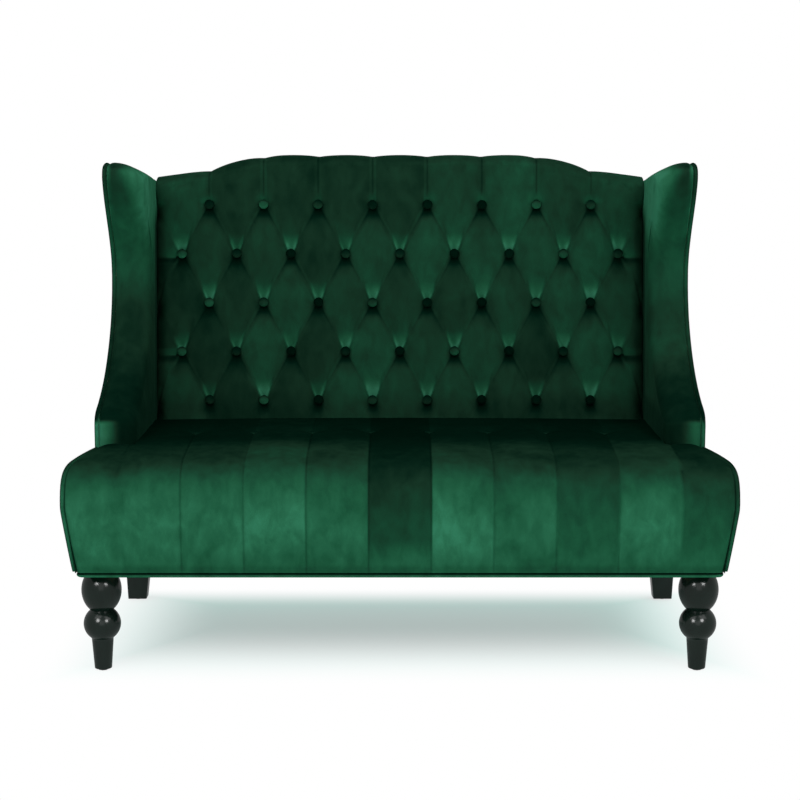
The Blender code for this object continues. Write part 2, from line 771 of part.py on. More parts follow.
# Wing and arm pads


def make_wing_pads(envelope):
    """Rings of the side outline, drawn in towards the inner face, with the board let in."""
    outer = BODY_HALF - 2 * WELT_RADIUS - FIT
    depth = outer - INNER_HALF
    base = RAIL_TOP + 2 * FIT
    curl = np.radians((0, 30, 60, 90))
    levels = [(outer, WELT_RADIUS)]
    levels += [
        (INNER_HALF + min(PAD_ROLL, depth / 2) * (1 - math.sin(a)), PAD_ROLL * (1 - math.cos(a)))
        for a in curl
    ]
    for side, sign in SIDES:
        bm = bmesh.new()
        rings = []
        for x, inset in levels:
            ring = closed_side(inset, base, BACK_TIMBER - FIT)
            rings.append([bm.verts.new((sign * x, y, z)) for y, z in ring])
        for near, far in zip(rings, rings[1:]):
            for j in range(len(near)):
                k = (j + 1) % len(near)
                bm.faces.new((near[j], near[k], far[k], far[j]))
        bm.faces.new(rings[0])
        bm.faces.new(rings[-1])
        pad = from_bmesh(f"{side}_wing_pad", bm, GREEN_VELVET, smooth=50)
        low_x, high_x = mirrored(sign, BOARD_INNER - FIT, BOARD_OUTER + CUT)
        rebate = flat(
            f"{side}_board_rebate",
            closed_side(WING_BOARD_INSET - FIT, BASE - CUT, BACK_TIMBER + CUT),
            low_x,
            high_x,
            SIDEWAYS,
        )
        combine(pad, [as_mesh(rebate), envelope], "DIFFERENCE")


# Seat


def seat_top(setback):
    """Height of the seat's middle line, crowned from front to back."""
    return SEAT_TOP - SEAT_CROWN * ((setback - SEAT_CROWN_SETBACK) / SEAT_CROWN_HALF) ** 2


def seat_half(setback):
    """Half-width of the seat front, drawn in to the arm behind it."""
    near = BODY_HALF - 2 * WELT_RADIUS - WELT_GAP
    share = np.clip(setback / ARM_SETBACK, 0.0, 1.0) ** FRONT_FLARE
    return SEAT_HALF + (near - SEAT_HALF) * share


STEP_SETBACK = ARM_SETBACK - SEAT_GAP


def seat_profile():
    """(setback, z) up the seat front, over its roll and back along the top."""
    low = Vector((FRONT_BOTTOM_SETBACK, SEAT_LOW))
    bulge = Vector((0.0, BASE + FRONT_BULGE_RISE))
    over = Vector((FRONT_ROLL_SETBACK, seat_top(FRONT_ROLL_SETBACK)))
    climb = (bulge.y - low.y) / 3
    roll = (over.y - bulge.y) * FRONT_ROLL_FULL
    front = interpolate_bezier(
        low, low + Vector((-FRONT_BOTTOM_SETBACK / 2, climb)), bulge - Vector((0, climb)), bulge, 4
    )
    nose = interpolate_bezier(
        bulge, bulge + Vector((0, roll)), over - Vector((roll, FRONT_ROLL_FALL)), over, 6
    )
    rear = raked_at(seat_top(SEAT_CROWN_SETBACK), PAD_FRONT) - FRONT - SEAT_GAP
    tops = [
        (FRONT_ROLL_SETBACK + STEP_SETBACK) / 2,
        STEP_SETBACK,
        (STEP_SETBACK + SEAT_BUTTON_SETBACK) / 2,
        SEAT_BUTTON_SETBACK,
        (SEAT_BUTTON_SETBACK + rear) / 2,
        rear,
    ]
    return np.array([*front[:-1], *nose] + [(t, seat_top(t)) for t in tops])


def seat_pleats():
    """Places of the pleats across the seat front."""
    count = math.floor((BODY_HALF - SEAT_END_ROLL) / SEAT_PLEAT_PITCH + 0.5)
    return [SEAT_PLEAT_PITCH * (k + 0.5) for k in range(-count, count)]


def seat_surface():
    """Points [row, column] of the seat's cover, with the row of its button line and its step."""
    profile = seat_profile()
    ahead = np.gradient(profile, axis=0)
    outward = np.stack([-ahead[:, 1], ahead[:, 0]], axis=1)
    outward /= np.linalg.norm(outward, axis=1, keepdims=True)
    setback, z = profile[:, 0], profile[:, 1]
    step_row = int(np.argmin(np.abs(setback - STEP_SETBACK)))
    button_row = int(np.argmin(np.abs(setback - SEAT_BUTTON_SETBACK)))
    facing = np.clip(outward[:, 1], 0.0, 1.0)
    rise = np.clip((z - SEAT_LOW) / (BASE + FRONT_BULGE_RISE - SEAT_LOW), 0.0, 1.0)
    half = seat_half(setback) - FRONT_TAPER * (1 - rise)
    roll = FRONT_END_ROLL + (SEAT_END_ROLL - FRONT_END_ROLL) * facing
    pleats = seat_pleats()
    inner = INNER_HALF - FIT
    lines = [p + s for p in pleats for s in (-SEAT_PLEAT_HALF, 0.0, SEAT_PLEAT_HALF)]
    lines = np.array(sorted([*lines, -inner, inner]))
    ends = np.sin(np.radians((0, 30, 60, 90)))
    rows = []
    for i in range(len(profile)):
        right = half[i] - roll[i] + roll[i] * ends
        x = np.array([*-right[::-1], *lines, *right])
        past = np.clip((np.abs(x) - (half[i] - roll[i])) / roll[i], 0.0, 1.0)
        sunk = roll[i] * (1 - np.sqrt(1 - past**2))
        sunk += SEAT_SIDE_FALL * facing[i] * np.clip(np.abs(x) / inner, 0.0, 1.0) ** 2
        aside = np.min(np.abs(x[:, None] - np.array(pleats)[None]), axis=1)
        sunk += (aside < FIT) * SEAT_PLEAT_DEPTH * (i <= button_row)
        dimple = np.clip(1 - SEAT_TUFT_SLOPE * aside / SEAT_PLEAT_HALF, 0.0, 1.0)
        sunk += dimple * SEAT_TUFT_DEPTH * (i == button_row) * (np.abs(x) < inner)
        y = FRONT + setback[i] - outward[i, 0] * sunk
        rows.append(np.stack([x, y, z[i] - outward[i, 1] * sunk], axis=1))
    return np.array(rows), step_row, len(ends) + int(np.searchsorted(lines, -inner))


def make_seat_cushion():
    points, step, first = seat_surface()
    rows, columns = points.shape[:2]
    last = columns - 1 - first
    keep = np.ones((rows - 1, columns - 1), bool)
    keep[step:, :first] = False
    keep[step:, last:] = False
    bm = bmesh.new()
    verts = quad_grid(bm, points, keep)
    rim = [verts[step][j] for j in range(first + 1)]
    rim += [verts[i][first] for i in range(step + 1, rows)]
    rim += [verts[-1][j] for j in range(first + 1, last + 1)]
    rim += [verts[i][last] for i in range(rows - 2, step - 1, -1)]
    rim += [verts[step][j] for j in range(last + 1, columns)]
    lower = []
    for vert in rim:
        x, y, z = vert.co
        raked_in = vert in verts[-1]
        low_y = raked_at(SEAT_LOW, PAD_FRONT) - SEAT_GAP if raked_in else y
        lower.append(bm.verts.new((x, low_y, SEAT_LOW)))
    for j in range(len(rim) - 1):
        bm.faces.new((rim[j], rim[j + 1], lower[j + 1], lower[j]))
    bm.faces.new([*(verts[i][0] for i in range(step + 1)), lower[0]])
    bm.faces.new([*(verts[i][-1] for i in range(step + 1)), lower[-1]])
    bm.faces.new([*verts[0], *lower[::-1]])
    loose = [v for v in bm.verts if not v.link_faces]
    bmesh.ops.delete(bm, geom=loose, context="VERTS")
    cushion = from_bmesh("seat_cushion", bm, GREEN_VELVET, smooth=50)
    hollow_y = FRONT + FRONT_RAIL_SETBACK - FIT
    block_y = FRONT + FRONT_BLOCK_SETBACK + BLOCK_DEPTH + FIT
    hollows = [
        box(name, (-half, hollow_y, BASE - CUT), (half, rear_y, DECK))
        for name, half, rear_y in (
            ("front_hollow", BLOCK_OUTER + FIT, block_y),
            ("seat_hollow", SIDE_RAIL_OUTER + FIT, DEPTH),
        )
    ]
    deck_frame = bpy.data.objects.new("seat_deck", None)
    PARTS.objects.link(deck_frame)
    deck_frame.location = (0, FRONT + SEAT_BUTTON_SETBACK, DECK)
    deck_frame.rotation_euler = (-math.pi / 2, 0, 0)
    inside = [x for x in seat_pleats() if abs(x) < INNER_HALF - TUFT_EDGE]
    dimple = seat_top(SEAT_BUTTON_SETBACK) - SEAT_TUFT_DEPTH - SEAT_PLEAT_DEPTH - DECK
    holes = make_button_row("seat_button_row", inside, -dimple, 0.0, 0.0, deck_frame)
    combine(cushion, [*hollows, holes], "DIFFERENCE")
    return points, step


# Welts


def make_welts(seat_points, step):
    rows = seat_points[: step + 1]
    out = WELT_RADIUS + WELT_GAP
    for side, sign in SIDES:
        end = rows[:, 0 if sign < 0 else -1].copy()
        end[:, 0] += sign * out
        end[0, 2] += WELT_RADIUS
        tube(f"{side}_seat_welt", end, WELT_RADIUS, GREEN_VELVET)
        line = side_outline(WELT_RADIUS, BASE + FIT + WELT_RADIUS, BACK_TIMBER)
        x = sign * (BODY_HALF - WELT_RADIUS)
        path = [(x, y, z) for y, z in line]
        tube(f"{side}_wing_welt", path, WELT_RADIUS, GREEN_VELVET)
    lip = rows[0]
    base_z = SEAT_LOW - WELT_RADIUS - FIT
    return_y = FRONT + STEP_SETBACK - WELT_RADIUS
    corners = [*lip[1:4], *lip[-4:-1]]
    path = [(x, y + WELT_CORNER, base_z) for x, y, _ in corners]
    ends = [(lip[j][0] - math.copysign(WELT_CORNER, lip[j][0]), lip[j][1]) for j in (0, -1)]
    back_x = seat_half(STEP_SETBACK) - WELT_CORNER
    path = [(-back_x, return_y, base_z), (*ends[0], base_z), *path]
    path += [(*ends[1], base_z), (back_x, return_y, base_z)]
    tube("base_welt", path, WELT_RADIUS, GREEN_VELVET, sides=2)
    xs = crest_places(INNER_HALF - WELT_RADIUS)
    path = [(x, BACK_TIMBER, crest_line(x) + WELT_RADIUS + FIT) for x in xs]
    tube("crest_welt", path, WELT_RADIUS, GREEN_VELVET, back_frame, sides=2)


# Outside covers


def make_outside_panels():
    rear = BACK_TIMBER + FIT
    outline = closed_side(2 * WELT_RADIUS + PANEL_EASE, BASE + FIT, rear + PANEL_THICK)
    for side, sign in SIDES:
        low_x, high_x = mirrored(sign, BODY_HALF - PANEL_THICK, BODY_HALF)
        flat(f"{side}_outside_panel", outline, low_x, high_x, SIDEWAYS, GREEN_VELVET)
    half = BODY_HALF - PANEL_THICK - FIT
    low = REAR_RAIL_LIFT
    wing_top = (EAR_RISE - EAR_FALL - 2 * WELT_RADIUS) / COS_RAKE
    shoulder = INNER_HALF + FIT
    crest = crest_outline(shoulder, low, FIT)[1:-1]
    outline = [(half, low), (half, wing_top), (shoulder + SIDE_ROLL, wing_top), *crest]
    outline += [(-shoulder - SIDE_ROLL, wing_top), (-half, wing_top), (-half, low)]
    flat(
        "outside_back_panel",
        outline,
        -rear - PANEL_THICK,
        -rear,
        UPRIGHT,
        GREEN_VELVET,
        back_frame,
    )


def make_dust_cover():
    half = BOARD_OUTER - DUST_COVER_INSET
    low_y = FRONT + FRONT_RAIL_SETBACK + DUST_COVER_INSET
    high_y = raked_at(BASE, BACK_TIMBER) - DUST_COVER_INSET
    notch_x = half - DUST_COVER_NOTCH
    notch_y = DUST_COVER_NOTCH
    corner = [
        (half, low_y + notch_y),
        (half, high_y - notch_y),
        (notch_x, high_y - notch_y),
        (notch_x, high_y),
    ]
    outline = corner + [(-x, y) for x, y in corner[::-1]]
    outline += [(-notch_x, low_y), (notch_x, low_y), (notch_x, low_y + notch_y)]
    outline.insert(-3, (-notch_x, low_y + notch_y))
    top = BASE - FIT
    flat("dust_cover", outline, top - DUST_COVER_THICK, top, LEVEL, CAMBRIC)


# Legs, bolts and glides


def ball(low, high, radius, low_radius, high_radius, count):
    """(radius, z) down a turned bead between two necks, top first."""
    middle, half = (low + high) / 2, (high - low) / 2
    top = math.asin(math.sqrt(1 - (high_radius / radius) ** 2))
    bottom = math.asin(math.sqrt(1 - (low_radius / radius) ** 2))
    angles = np.linspace(top, -bottom, count)
    reach = max(math.sin(top), math.sin(bottom))
    return [(radius * math.cos(a), middle + half * math.sin(a) / reach) for a in angles]


def turned(name, profile, finish, steps=16):
    """A solid turned about Z from (radius, z) points that run from its top to its bottom."""
    bm = bmesh.new()
    verts = [bm.verts.new((r, 0.0, z)) for r, z in profile]
    for near, far in zip(verts, verts[1:]):
        bm.edges.new((near, far))
    mesh = bpy.data.meshes.new(name)
    bm.to_mesh(mesh)
    bm.free()
    obj = place(bpy.data.objects.new(name, mesh), finish)
    screw = obj.modifiers.new("turn", "SCREW")
    screw.axis = "Z"
    screw.steps = screw.render_steps = steps
    screw.use_merge_vertices = True
    screw.merge_threshold = 1e-5
    screw.use_smooth_shade = True
    return obj


def front_leg_profile():
    top = BASE - LEG_SEAT_GAP
    foot = GLIDE_THICK + FIT
    neck = top - BALL_HEIGHT
    shoulder = neck - LOWER_BALL_HEIGHT
    upper = ball(neck, top, BALL_RADIUS, NECK_RADIUS, LEG_TOP_RADIUS, 8)
    lower = ball(shoulder, neck - FIT, LOWER_BALL_RADIUS, TAPER_TOP_RADIUS, NECK_RADIUS, 7)
    ankle = FOOT_RADIUS - FOOT_EASE
    taper = [(FOOT_RADIUS, foot + FOOT_EASE), (ankle, foot)]
    return [(0.0, top), *upper, *lower[1:], *taper, (0.0, foot)]


def bolt_hole(name, x, y, low, high):
    bm = bmesh.new()
    radius = LEG_BOLT_RADIUS + FIT
    bmesh.ops.create_cone(
        bm, cap_ends=True, segments=8, radius1=radius, radius2=radius, depth=high - low
    )
    hole = from_bmesh(name, bm)
    hole.location = (x, y, (low + high) / 2)
    return hole


def rear_leg(name, sign):
    """A tapered leg with an upright outer face, splayed back to its foot."""
    outer = BODY_HALF
    top_width, top_depth = REAR_LEG_TOP
    foot_width, foot_depth = REAR_LEG_FOOT
    top_y = raked_at(BASE, BACK_TIMBER) - top_depth
    foot_y = top_y + REAR_LEG_SPLAY + (top_depth - foot_depth) / 2
    bm = bmesh.new()
    bmesh.ops.create_cube(bm, size=1.0)
    for vert in bm.verts:
        high = vert.co.z > 0
        width, depth = (top_width, top_depth) if high else (foot_width, foot_depth)
        vert.co = (
            sign * (outer - width * (vert.co.x > 0)),
            (top_y if high else foot_y) + depth * (vert.co.y > 0),
            BASE - LEG_SEAT_GAP if high else GLIDE_THICK + FIT,
        )
    leg = from_bmesh(name, bm, BLACK_LACQUER)
    ease = leg.modifiers.new("ease", "BEVEL")
    ease.width = REAR_LEG_EASE
    ease.segments = 2
    foot = sign * (outer - foot_width / 2), foot_y + foot_depth / 2
    bolt_y = raked_at(BASE + LEG_BOLT_LENGTH / 4, BACK_TIMBER / 2)
    bolt = sign * (outer - top_width / 2), bolt_y
    return leg, foot, bolt


def make_bolt(name, x, y):
    low, high = BASE - LEG_BOLT_LENGTH / 2, BASE + LEG_BOLT_LENGTH / 2
    bm = bmesh.new()
    bmesh.ops.create_cone(
        bm,
        cap_ends=True,
        segments=8,
        radius1=LEG_BOLT_RADIUS,
        radius2=LEG_BOLT_RADIUS,
        depth=high - low,
    )
    bolt = from_bmesh(name, bm, ZINC, smooth=30)
    bolt.location = (x, y, (low + high) / 2)
    return bolt_hole(f"{name}_hole", x, y, low - FIT, high + FIT)


def make_glide(name, x, y):
    profile = [
        (0.0, GLIDE_THICK),
        (GLIDE_RADIUS, GLIDE_THICK),
        (GLIDE_RADIUS, GLIDE_THICK / 3),
        (GLIDE_RADIUS * (1 - GLIDE_EASE), 0.0),
        (0.0, 0.0),
    ]
    glide = turned(name, profile, NYLON, 8)
    glide.location = (x, y, 0.0)


def make_legs():
    for side, sign in SIDES:
        x, y = sign * (BODY_HALF - FRONT_LEG_INSET), FRONT + FRONT_LEG_SETBACK
        leg = turned(f"front_{side}_leg", front_leg_profile(), BLACK_LACQUER)
        leg.location = (x, y, 0.0)
        hole = make_bolt(f"front_{side}_leg_bolt", x, y)
        block = PARTS.objects[f"front_{side}_corner_block"]
        combine(leg, [hole], "DIFFERENCE")
        combine(block, [hole], "DIFFERENCE")
        make_glide(f"front_{side}_glide", x, y)
        leg, foot, bolt = rear_leg(f"rear_{side}_leg", sign)
        hole = make_bolt(f"rear_{side}_leg_bolt", *bolt)
        combine(leg, [hole], "DIFFERENCE")
        combine(PARTS.objects["rear_rail"], [hole], "DIFFERENCE")
        make_glide(f"rear_{side}_glide", *foot)


make_seat_frame()
make_back_frame()
make_wing_boards()
make_springs()
make_felt()
BACK_ENVELOPE = make_back_envelope()
make_tufted_back(BACK_ENVELOPE)
make_wing_pads(BACK_ENVELOPE)
SEAT_POINTS, SEAT_STEP = make_seat_cushion()
make_welts(SEAT_POINTS, SEAT_STEP)
make_outside_panels()
make_dust_cover()
make_legs()
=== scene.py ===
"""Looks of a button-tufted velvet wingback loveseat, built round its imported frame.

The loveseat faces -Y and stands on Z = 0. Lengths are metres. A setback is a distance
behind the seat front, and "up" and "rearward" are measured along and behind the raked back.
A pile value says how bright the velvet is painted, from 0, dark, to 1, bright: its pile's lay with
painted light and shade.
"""

import math

import bmesh
import bpy
import numpy as np
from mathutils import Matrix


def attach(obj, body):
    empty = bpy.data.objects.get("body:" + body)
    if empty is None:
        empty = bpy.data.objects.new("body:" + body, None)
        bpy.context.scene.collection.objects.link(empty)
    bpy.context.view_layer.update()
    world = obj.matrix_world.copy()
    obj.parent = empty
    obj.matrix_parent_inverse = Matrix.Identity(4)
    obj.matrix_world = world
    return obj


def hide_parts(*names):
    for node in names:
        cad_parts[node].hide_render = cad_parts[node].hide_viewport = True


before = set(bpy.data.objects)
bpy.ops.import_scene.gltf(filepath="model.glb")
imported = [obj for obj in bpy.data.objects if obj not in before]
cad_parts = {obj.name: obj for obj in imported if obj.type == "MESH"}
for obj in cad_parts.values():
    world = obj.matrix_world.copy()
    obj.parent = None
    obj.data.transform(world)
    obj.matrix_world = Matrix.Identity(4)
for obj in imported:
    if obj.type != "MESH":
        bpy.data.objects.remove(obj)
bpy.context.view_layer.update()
scene = bpy.context.scene


# Camera. It stands square in front of the loveseat, a little above the crest, and looks
# slightly down, as the photograph does.
CAMERA_PLACE = (0.0, -3.9509, 1.1218)
CAMERA_PITCH = math.radians(8.981)
camera_data = bpy.data.cameras.new("camera")
camera_data.sensor_width = 36.0
camera_data.lens = 86.15
camera = bpy.data.objects.new("camera", camera_data)
camera.location = CAMERA_PLACE
camera.rotation_euler = (math.pi / 2 - CAMERA_PITCH, 0.0, 0.0)
scene.collection.objects.link(camera)
scene.camera = camera


# Timber frame. Rails, blocks, posts and slats are sawn beech, glued and screwed, and the two
# wing boards are birch plywood. The side rails, posts and crest rail, which lie right behind a
# joint between two covers, are near black: painted shade, so that the slits between the covers
# look dark. All is covered, so the solids stay.
BEECH_NODES = [
    "front_rail", "rear_rail", "seat_stretcher", "front_left_corner_block",
    "front_right_corner_block", "rear_left_corner_block", "rear_right_corner_block",
    "left_back_slat", "right_back_slat", "lower_back_rail",
]
GAP_SHADE_NODES = [
    "left_side_rail", "right_side_rail", "left_back_post", "right_back_post", "crest_rail",
]
PLYWOOD_NODES = ["left_wing_board", "right_wing_board"]


def add_node(tree, kind, inputs, **settings):
    """A node of that kind with its settings; each input is set to a value or fed by an output."""
    node = tree.nodes.new("ShaderNode" + kind)
    for name, value in settings.items():
        setattr(node, name, value)
    for socket, value in inputs.items():
        if isinstance(value, bpy.types.NodeSocket):
            tree.links.new(value, node.inputs[socket])
        else:
            node.inputs[socket].default_value = value
    return node


class Finish:
    """A material whose nodes are added by short calls; shader is its Principled node."""

    def __init__(self, name, **sockets):
        self.material = bpy.data.materials.new(name)
        self.material.use_nodes = True
        self.tree = self.material.node_tree
        self.shader = self.tree.nodes["Principled BSDF"]
        for socket, value in sockets.items():
            self.shader.inputs[socket.replace("_", " ")].default_value = value
        self.place = add_node(self.tree, "TexCoord", {}).outputs["Object"]

    def feed(self, source, socket):
        self.tree.links.new(source, self.shader.inputs[socket])

    def pattern(self, kind, scale, detail, stretch, distortion):
        """A texture over object coordinates that are stretched along the axes."""
        stretched = add_node(self.tree, "Mapping", {"Vector": self.place, "Scale": stretch})
        inputs = {"Scale": scale, "Detail": detail, "Distortion": distortion}
        inputs["Vector"] = stretched.outputs["Vector"]
        return add_node(self.tree, kind, inputs).outputs["Fac"]

    def noise(self, scale, detail, stretch=(1, 1, 1), distortion=0.0):
        """Noise of that many features a metre."""
        return self.pattern("TexNoise", scale, detail, stretch, distortion)

    def rings(self, scale, distortion, stretch):
        """Wavy bands, as of grain or a ribbed weave."""
        return self.pattern("TexWave", scale, 2.0, stretch, distortion)

    def span(self, source, low, high, start=0.25, end=0.75):
        """source, from start to end, spread over low to high."""
        inputs = {"From Min": start, "From Max": end, "To Min": low, "To Max": high}
        return add_node(self.tree, "MapRange", {"Value": source, **inputs}).outputs["Result"]

    def times(self, first, second):
        product = add_node(self.tree, "Math", {0: first, 1: second}, operation="MULTIPLY")
        return product.outputs["Value"]

    def shade(self, source, stops):
        """Colours along source, from stops of (place, colour), as the base colour."""
        ramp = add_node(self.tree, "ValToRGB", {"Fac": source})
        elements = ramp.color_ramp.elements
        while len(elements) < len(stops):
            elements.new(0.5)
        for element, (where, colour) in zip(elements, stops):
            element.position = where
            element.color = (*colour, 1.0)
        self.feed(ramp.outputs["Color"], "Base Color")

    def rough(self, source, low, high):
        self.feed(self.span(source, low, high), "Roughness")

    def bump(self, source, depth, strength=1.0):
        """Relief of that depth in metres; calls add up."""
        inputs = {"Height": source, "Distance": depth, "Strength": strength}
        for link in self.shader.inputs["Normal"].links:
            inputs["Normal"] = link.from_socket
        self.feed(add_node(self.tree, "Bump", inputs).outputs["Normal"], "Normal")


def finish_nodes(names, finish):
    """Gives CAD nodes that stay a better material."""
    for name in names:
        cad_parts[name].data.materials.clear()
        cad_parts[name].data.materials.append(finish.material)


def beech_finish(name, stops):
    """Sawn beech: fine wavy grain along X picks the colour, over a slight relief of pores."""
    made = Finish(name, Roughness=0.6, Specular_IOR_Level=0.1)
    made.shade(made.rings(26.0, 5.0, (0.25, 1.0, 1.0)), stops)
    made.bump(made.noise(420.0, 2.0, (0.08, 1.0, 1.0)), 0.0003, 0.5)
    return made


beech = beech_finish("beech", [(0.1, (0.46, 0.30, 0.17)), (0.8, (0.57, 0.40, 0.25))])
finish_nodes(BEECH_NODES, beech)
# Near-black beech: painted shade for the slits between the covers.
gap_shade_beech = beech_finish(
    "beech_dark_as_gap_shade", [(0.1, (0.0065, 0.0075, 0.0052)), (0.8, (0.0105, 0.0115, 0.0082))]
)
finish_nodes(GAP_SHADE_NODES, gap_shade_beech)

plywood = Finish("birch_plywood", Roughness=0.65, Specular_IOR_Level=0.1)
plywood.shade(
    plywood.rings(9.0, 8.0, (1.0, 0.3, 1.0)), [(0.1, (0.55, 0.42, 0.27)), (0.9, (0.66, 0.53, 0.37))]
)
plywood.bump(plywood.noise(300.0, 2.0, (1.0, 0.1, 1.0)), 0.0002, 0.5)
finish_nodes(PLYWOOD_NODES, plywood)


# Suspension. Sinuous steel springs run from the front rail to the rear rail under a felt, and
# two jute webs cross the back frame. They are hidden by the covers.
steel = Finish("spring_steel", Roughness=0.38, Metallic=1.0)
steel.shade(steel.noise(60.0, 3.0), [(0.3, (0.30, 0.30, 0.31)), (0.7, (0.46, 0.46, 0.47))])
finish_nodes([f"seat_spring_{number}" for number in range(1, 8)], steel)

felt = Finish("grey_felt", Roughness=0.95)
felt.shade(felt.noise(180.0, 4.0), [(0.3, (0.24, 0.23, 0.22)), (0.7, (0.40, 0.39, 0.37))])
felt.bump(felt.noise(500.0, 3.0), 0.0008)
finish_nodes(["spring_felt"], felt)

jute = Finish("jute_webbing", Roughness=0.9)
jute.shade(
    jute.rings(160.0, 1.0, (1.0, 0.0, 1.0)), [(0.2, (0.07, 0.06, 0.05)), (0.8, (0.14, 0.12, 0.10))]
)
jute.bump(jute.rings(320.0, 0.5, (1.0, 0.0, 0.2)), 0.0004)
finish_nodes(["back_web_1", "back_web_2"], jute)


# Tufted inside back. One velvet cover over deep padding, drawn in by five staggered rows of
# buttons, with the surplus folded into diagonal pleats. It rolls over the crest and is stapled.
FIT = 0.0004
BASE = 0.203
DEPTH = 0.710
FRONT = -DEPTH / 2
BACK_RAKE = math.radians(8.2)
BACK_FOOT_Y = 0.20801
BACK_TIMBER = 0.028
BACK_CROWN = 0.79982
CREST_FLAT = 0.250
CREST_SHOULDER = 0.4165
SHOULDER_DROP = 0.032
CREST_SLOPE = 0.14
CREST_PADDING = 0.014
INNER_HALF = 0.532
PAD_REAR = -0.0028
BACK_PAD = 0.070
BACK_PAD_RISE = 0.140
BACK_ROLL = 0.030
TUFT_PITCH = 0.119
TUFT_ROW_PITCH = 0.1066
TUFT_TOP_ROW = 0.68612
TUFT_ROWS = 5
TUFT_WIDEST = 4
TUFT_STEPS = 28  # grid cells from one button row to the next
TUFT_CROWN = 0.006  # how far the middle of a diamond stands out
CREST_FLATTENED = 0.6  # share of that crown lost towards the crest
TUFT_DIMPLE = 0.022  # how much deeper the buttons draw it in
DIMPLE_POWER = 1.3
DIMPLE_REACH = 0.0125  # beside a button
PIT_REACH = 0.020  # below it
PIT_TURN = (0.6, 0.9)  # cosines from straight down between which the pit deepens
FAN_REACH = 0.031  # above it, between the two pleats
FAN_FOOT = 0.0055  # half the fan's width at its button
FAN_SPREAD = 0.33  # and how fast it widens upwards
FAN_BLEND = 0.006  # width of its edge
OUTER_SAG = 0.010  # how far the outer pleats fall on their way to the wing
OUTER_REACH = 0.02  # past the outer buttons, where the pleats have turned
PLEAT_STEEP = math.hypot(1.0 / TUFT_PITCH, 0.5 / TUFT_ROW_PITCH)  # lattice steps in a metre
PLEAT_DEPTH = 0.005
PLEAT_REACH = 0.0032
PLEAT_ROUND = 0.0009  # how blunt a pleat's bottom is
PLEAT_FADE = 0.022  # a pleat deepens this close to its buttons
PLEAT_REST = 0.14  # share of its depth far from them
GATHER_DEPTH = 0.30  # share added above the top row
CREST_NOTCH = 0.30
CREST_SCALLOP = 0.005  # how far the pleats draw the crest down
SCALLOP_POWER = 0.6
BACK_EDGE_ROLL = 0.034
BACK_EDGE_DEPTH = 0.012
BACK_EDGE_END = (0.03, 0.11)  # below the crown, where the side edges' roll sets in
ROLL_STEPS = 18
CREST_TOP_STEPS = 6
MERGE = 1e-5  # points this close are one
NEAREST = 1e-6  # stands for no distance where one divides


def joined(x, y, z):
    """Points of those coordinates, spread over their common shape."""
    return np.stack(np.broadcast_arrays(x, y, z), axis=-1)


def quarter_turn(steps):
    """Angles from 0 to a right angle."""
    return np.linspace(0.0, np.pi / 2.0, steps)


def full_turn(steps):
    """Angles once round, without the last one."""
    return np.linspace(0.0, 2.0 * np.pi, steps, endpoint=False)


def unit(vectors):
    """Rows of vectors, each brought to length 1."""
    return vectors / np.linalg.norm(vectors, axis=1, keepdims=True)


def raked(x, up, rearward):
    """Points x across the back, up along its rake and rearward of its timber's front."""
    y = BACK_FOOT_Y + up * math.sin(BACK_RAKE) + rearward * math.cos(BACK_RAKE)
    z = BASE + up * math.cos(BACK_RAKE) - rearward * math.sin(BACK_RAKE)
    return joined(x, y, z)


def up_rake(points):
    """How far up along the raked back points lie."""
    y, z = points[:, 1] - BACK_FOOT_Y, points[:, 2] - BASE
    return y * math.sin(BACK_RAKE) + z * math.cos(BACK_RAKE)


def eased(t):
    """Smooth step: 3t^2 - 2t^3 between 0 and 1."""
    t = np.clip(t, 0.0, 1.0)
    return t * t * (3.0 - 2.0 * t)


def between(value, start, end):
    """0 up to start and 1 from end on, eased between the two."""
    return eased((value - start) / (end - start))


def toward(value, other, share):
    """value, moved that share of the way to other."""
    return value + (other - value) * share


def faded(value, place, share, start, end):
    """value, less a part of it that grows from nothing at start to share at end."""
    return value * (1.0 - share * between(place, start, end))


def off_whole(number):
    """How far a number is from the nearest whole one."""
    return np.abs(number - np.round(number))


def crest_line(x):
    """Height up the back of the padded crest: level, a parabola to the shoulder, then a slope."""
    x = np.abs(x)
    ramp = np.clip((x - CREST_FLAT) / (CREST_SHOULDER - CREST_FLAT), 0.0, 1.0)
    drop = SHOULDER_DROP * ramp**2
    return BACK_CROWN - drop - CREST_SLOPE * np.maximum(0.0, x - CREST_SHOULDER)


def tuft_lattice(x, up):
    """Two diagonal coordinates that are both whole numbers at a button, and how far past the
    outer columns and rows a point lies. One alone is a whole number along a pleat."""
    column = np.clip(x / TUFT_PITCH, -TUFT_WIDEST, TUFT_WIDEST)
    aside = x - column * TUFT_PITCH
    above = (TUFT_TOP_ROW - up - OUTER_SAG * eased(np.abs(aside) / OUTER_REACH)) / TUFT_ROW_PITCH
    row = np.clip(above, 0.0, TUFT_ROWS - 1.0)
    return column + row / 2.0 + 0.5, column - row / 2.0 + 0.5, aside, (row - above) * TUFT_ROW_PITCH


def button_offsets(x, up):
    """How far across and up a point lies from each of the four buttons round its diamond."""
    a, b, aside, beyond = tuft_lattice(x, up)
    off_a, off_b = a - np.floor(a), b - np.floor(b)
    across = [TUFT_PITCH * (off_a + off_b - k) / 2.0 + aside for k in (0, 1, 1, 2)]
    along = [TUFT_ROW_PITCH * (off_b - off_a + k) + beyond for k in (0, -1, 1, 0)]
    return np.stack(np.broadcast_arrays(*across)), np.stack(np.broadcast_arrays(*along))


def fan_share(across, along, blend):
    """1 inside the fan above a button, which widens evenly upwards, and 0 outside."""
    half = FAN_FOOT + FAN_SPREAD * along
    return eased((half - np.abs(across)) / blend + 0.5) * (along > 0.0)


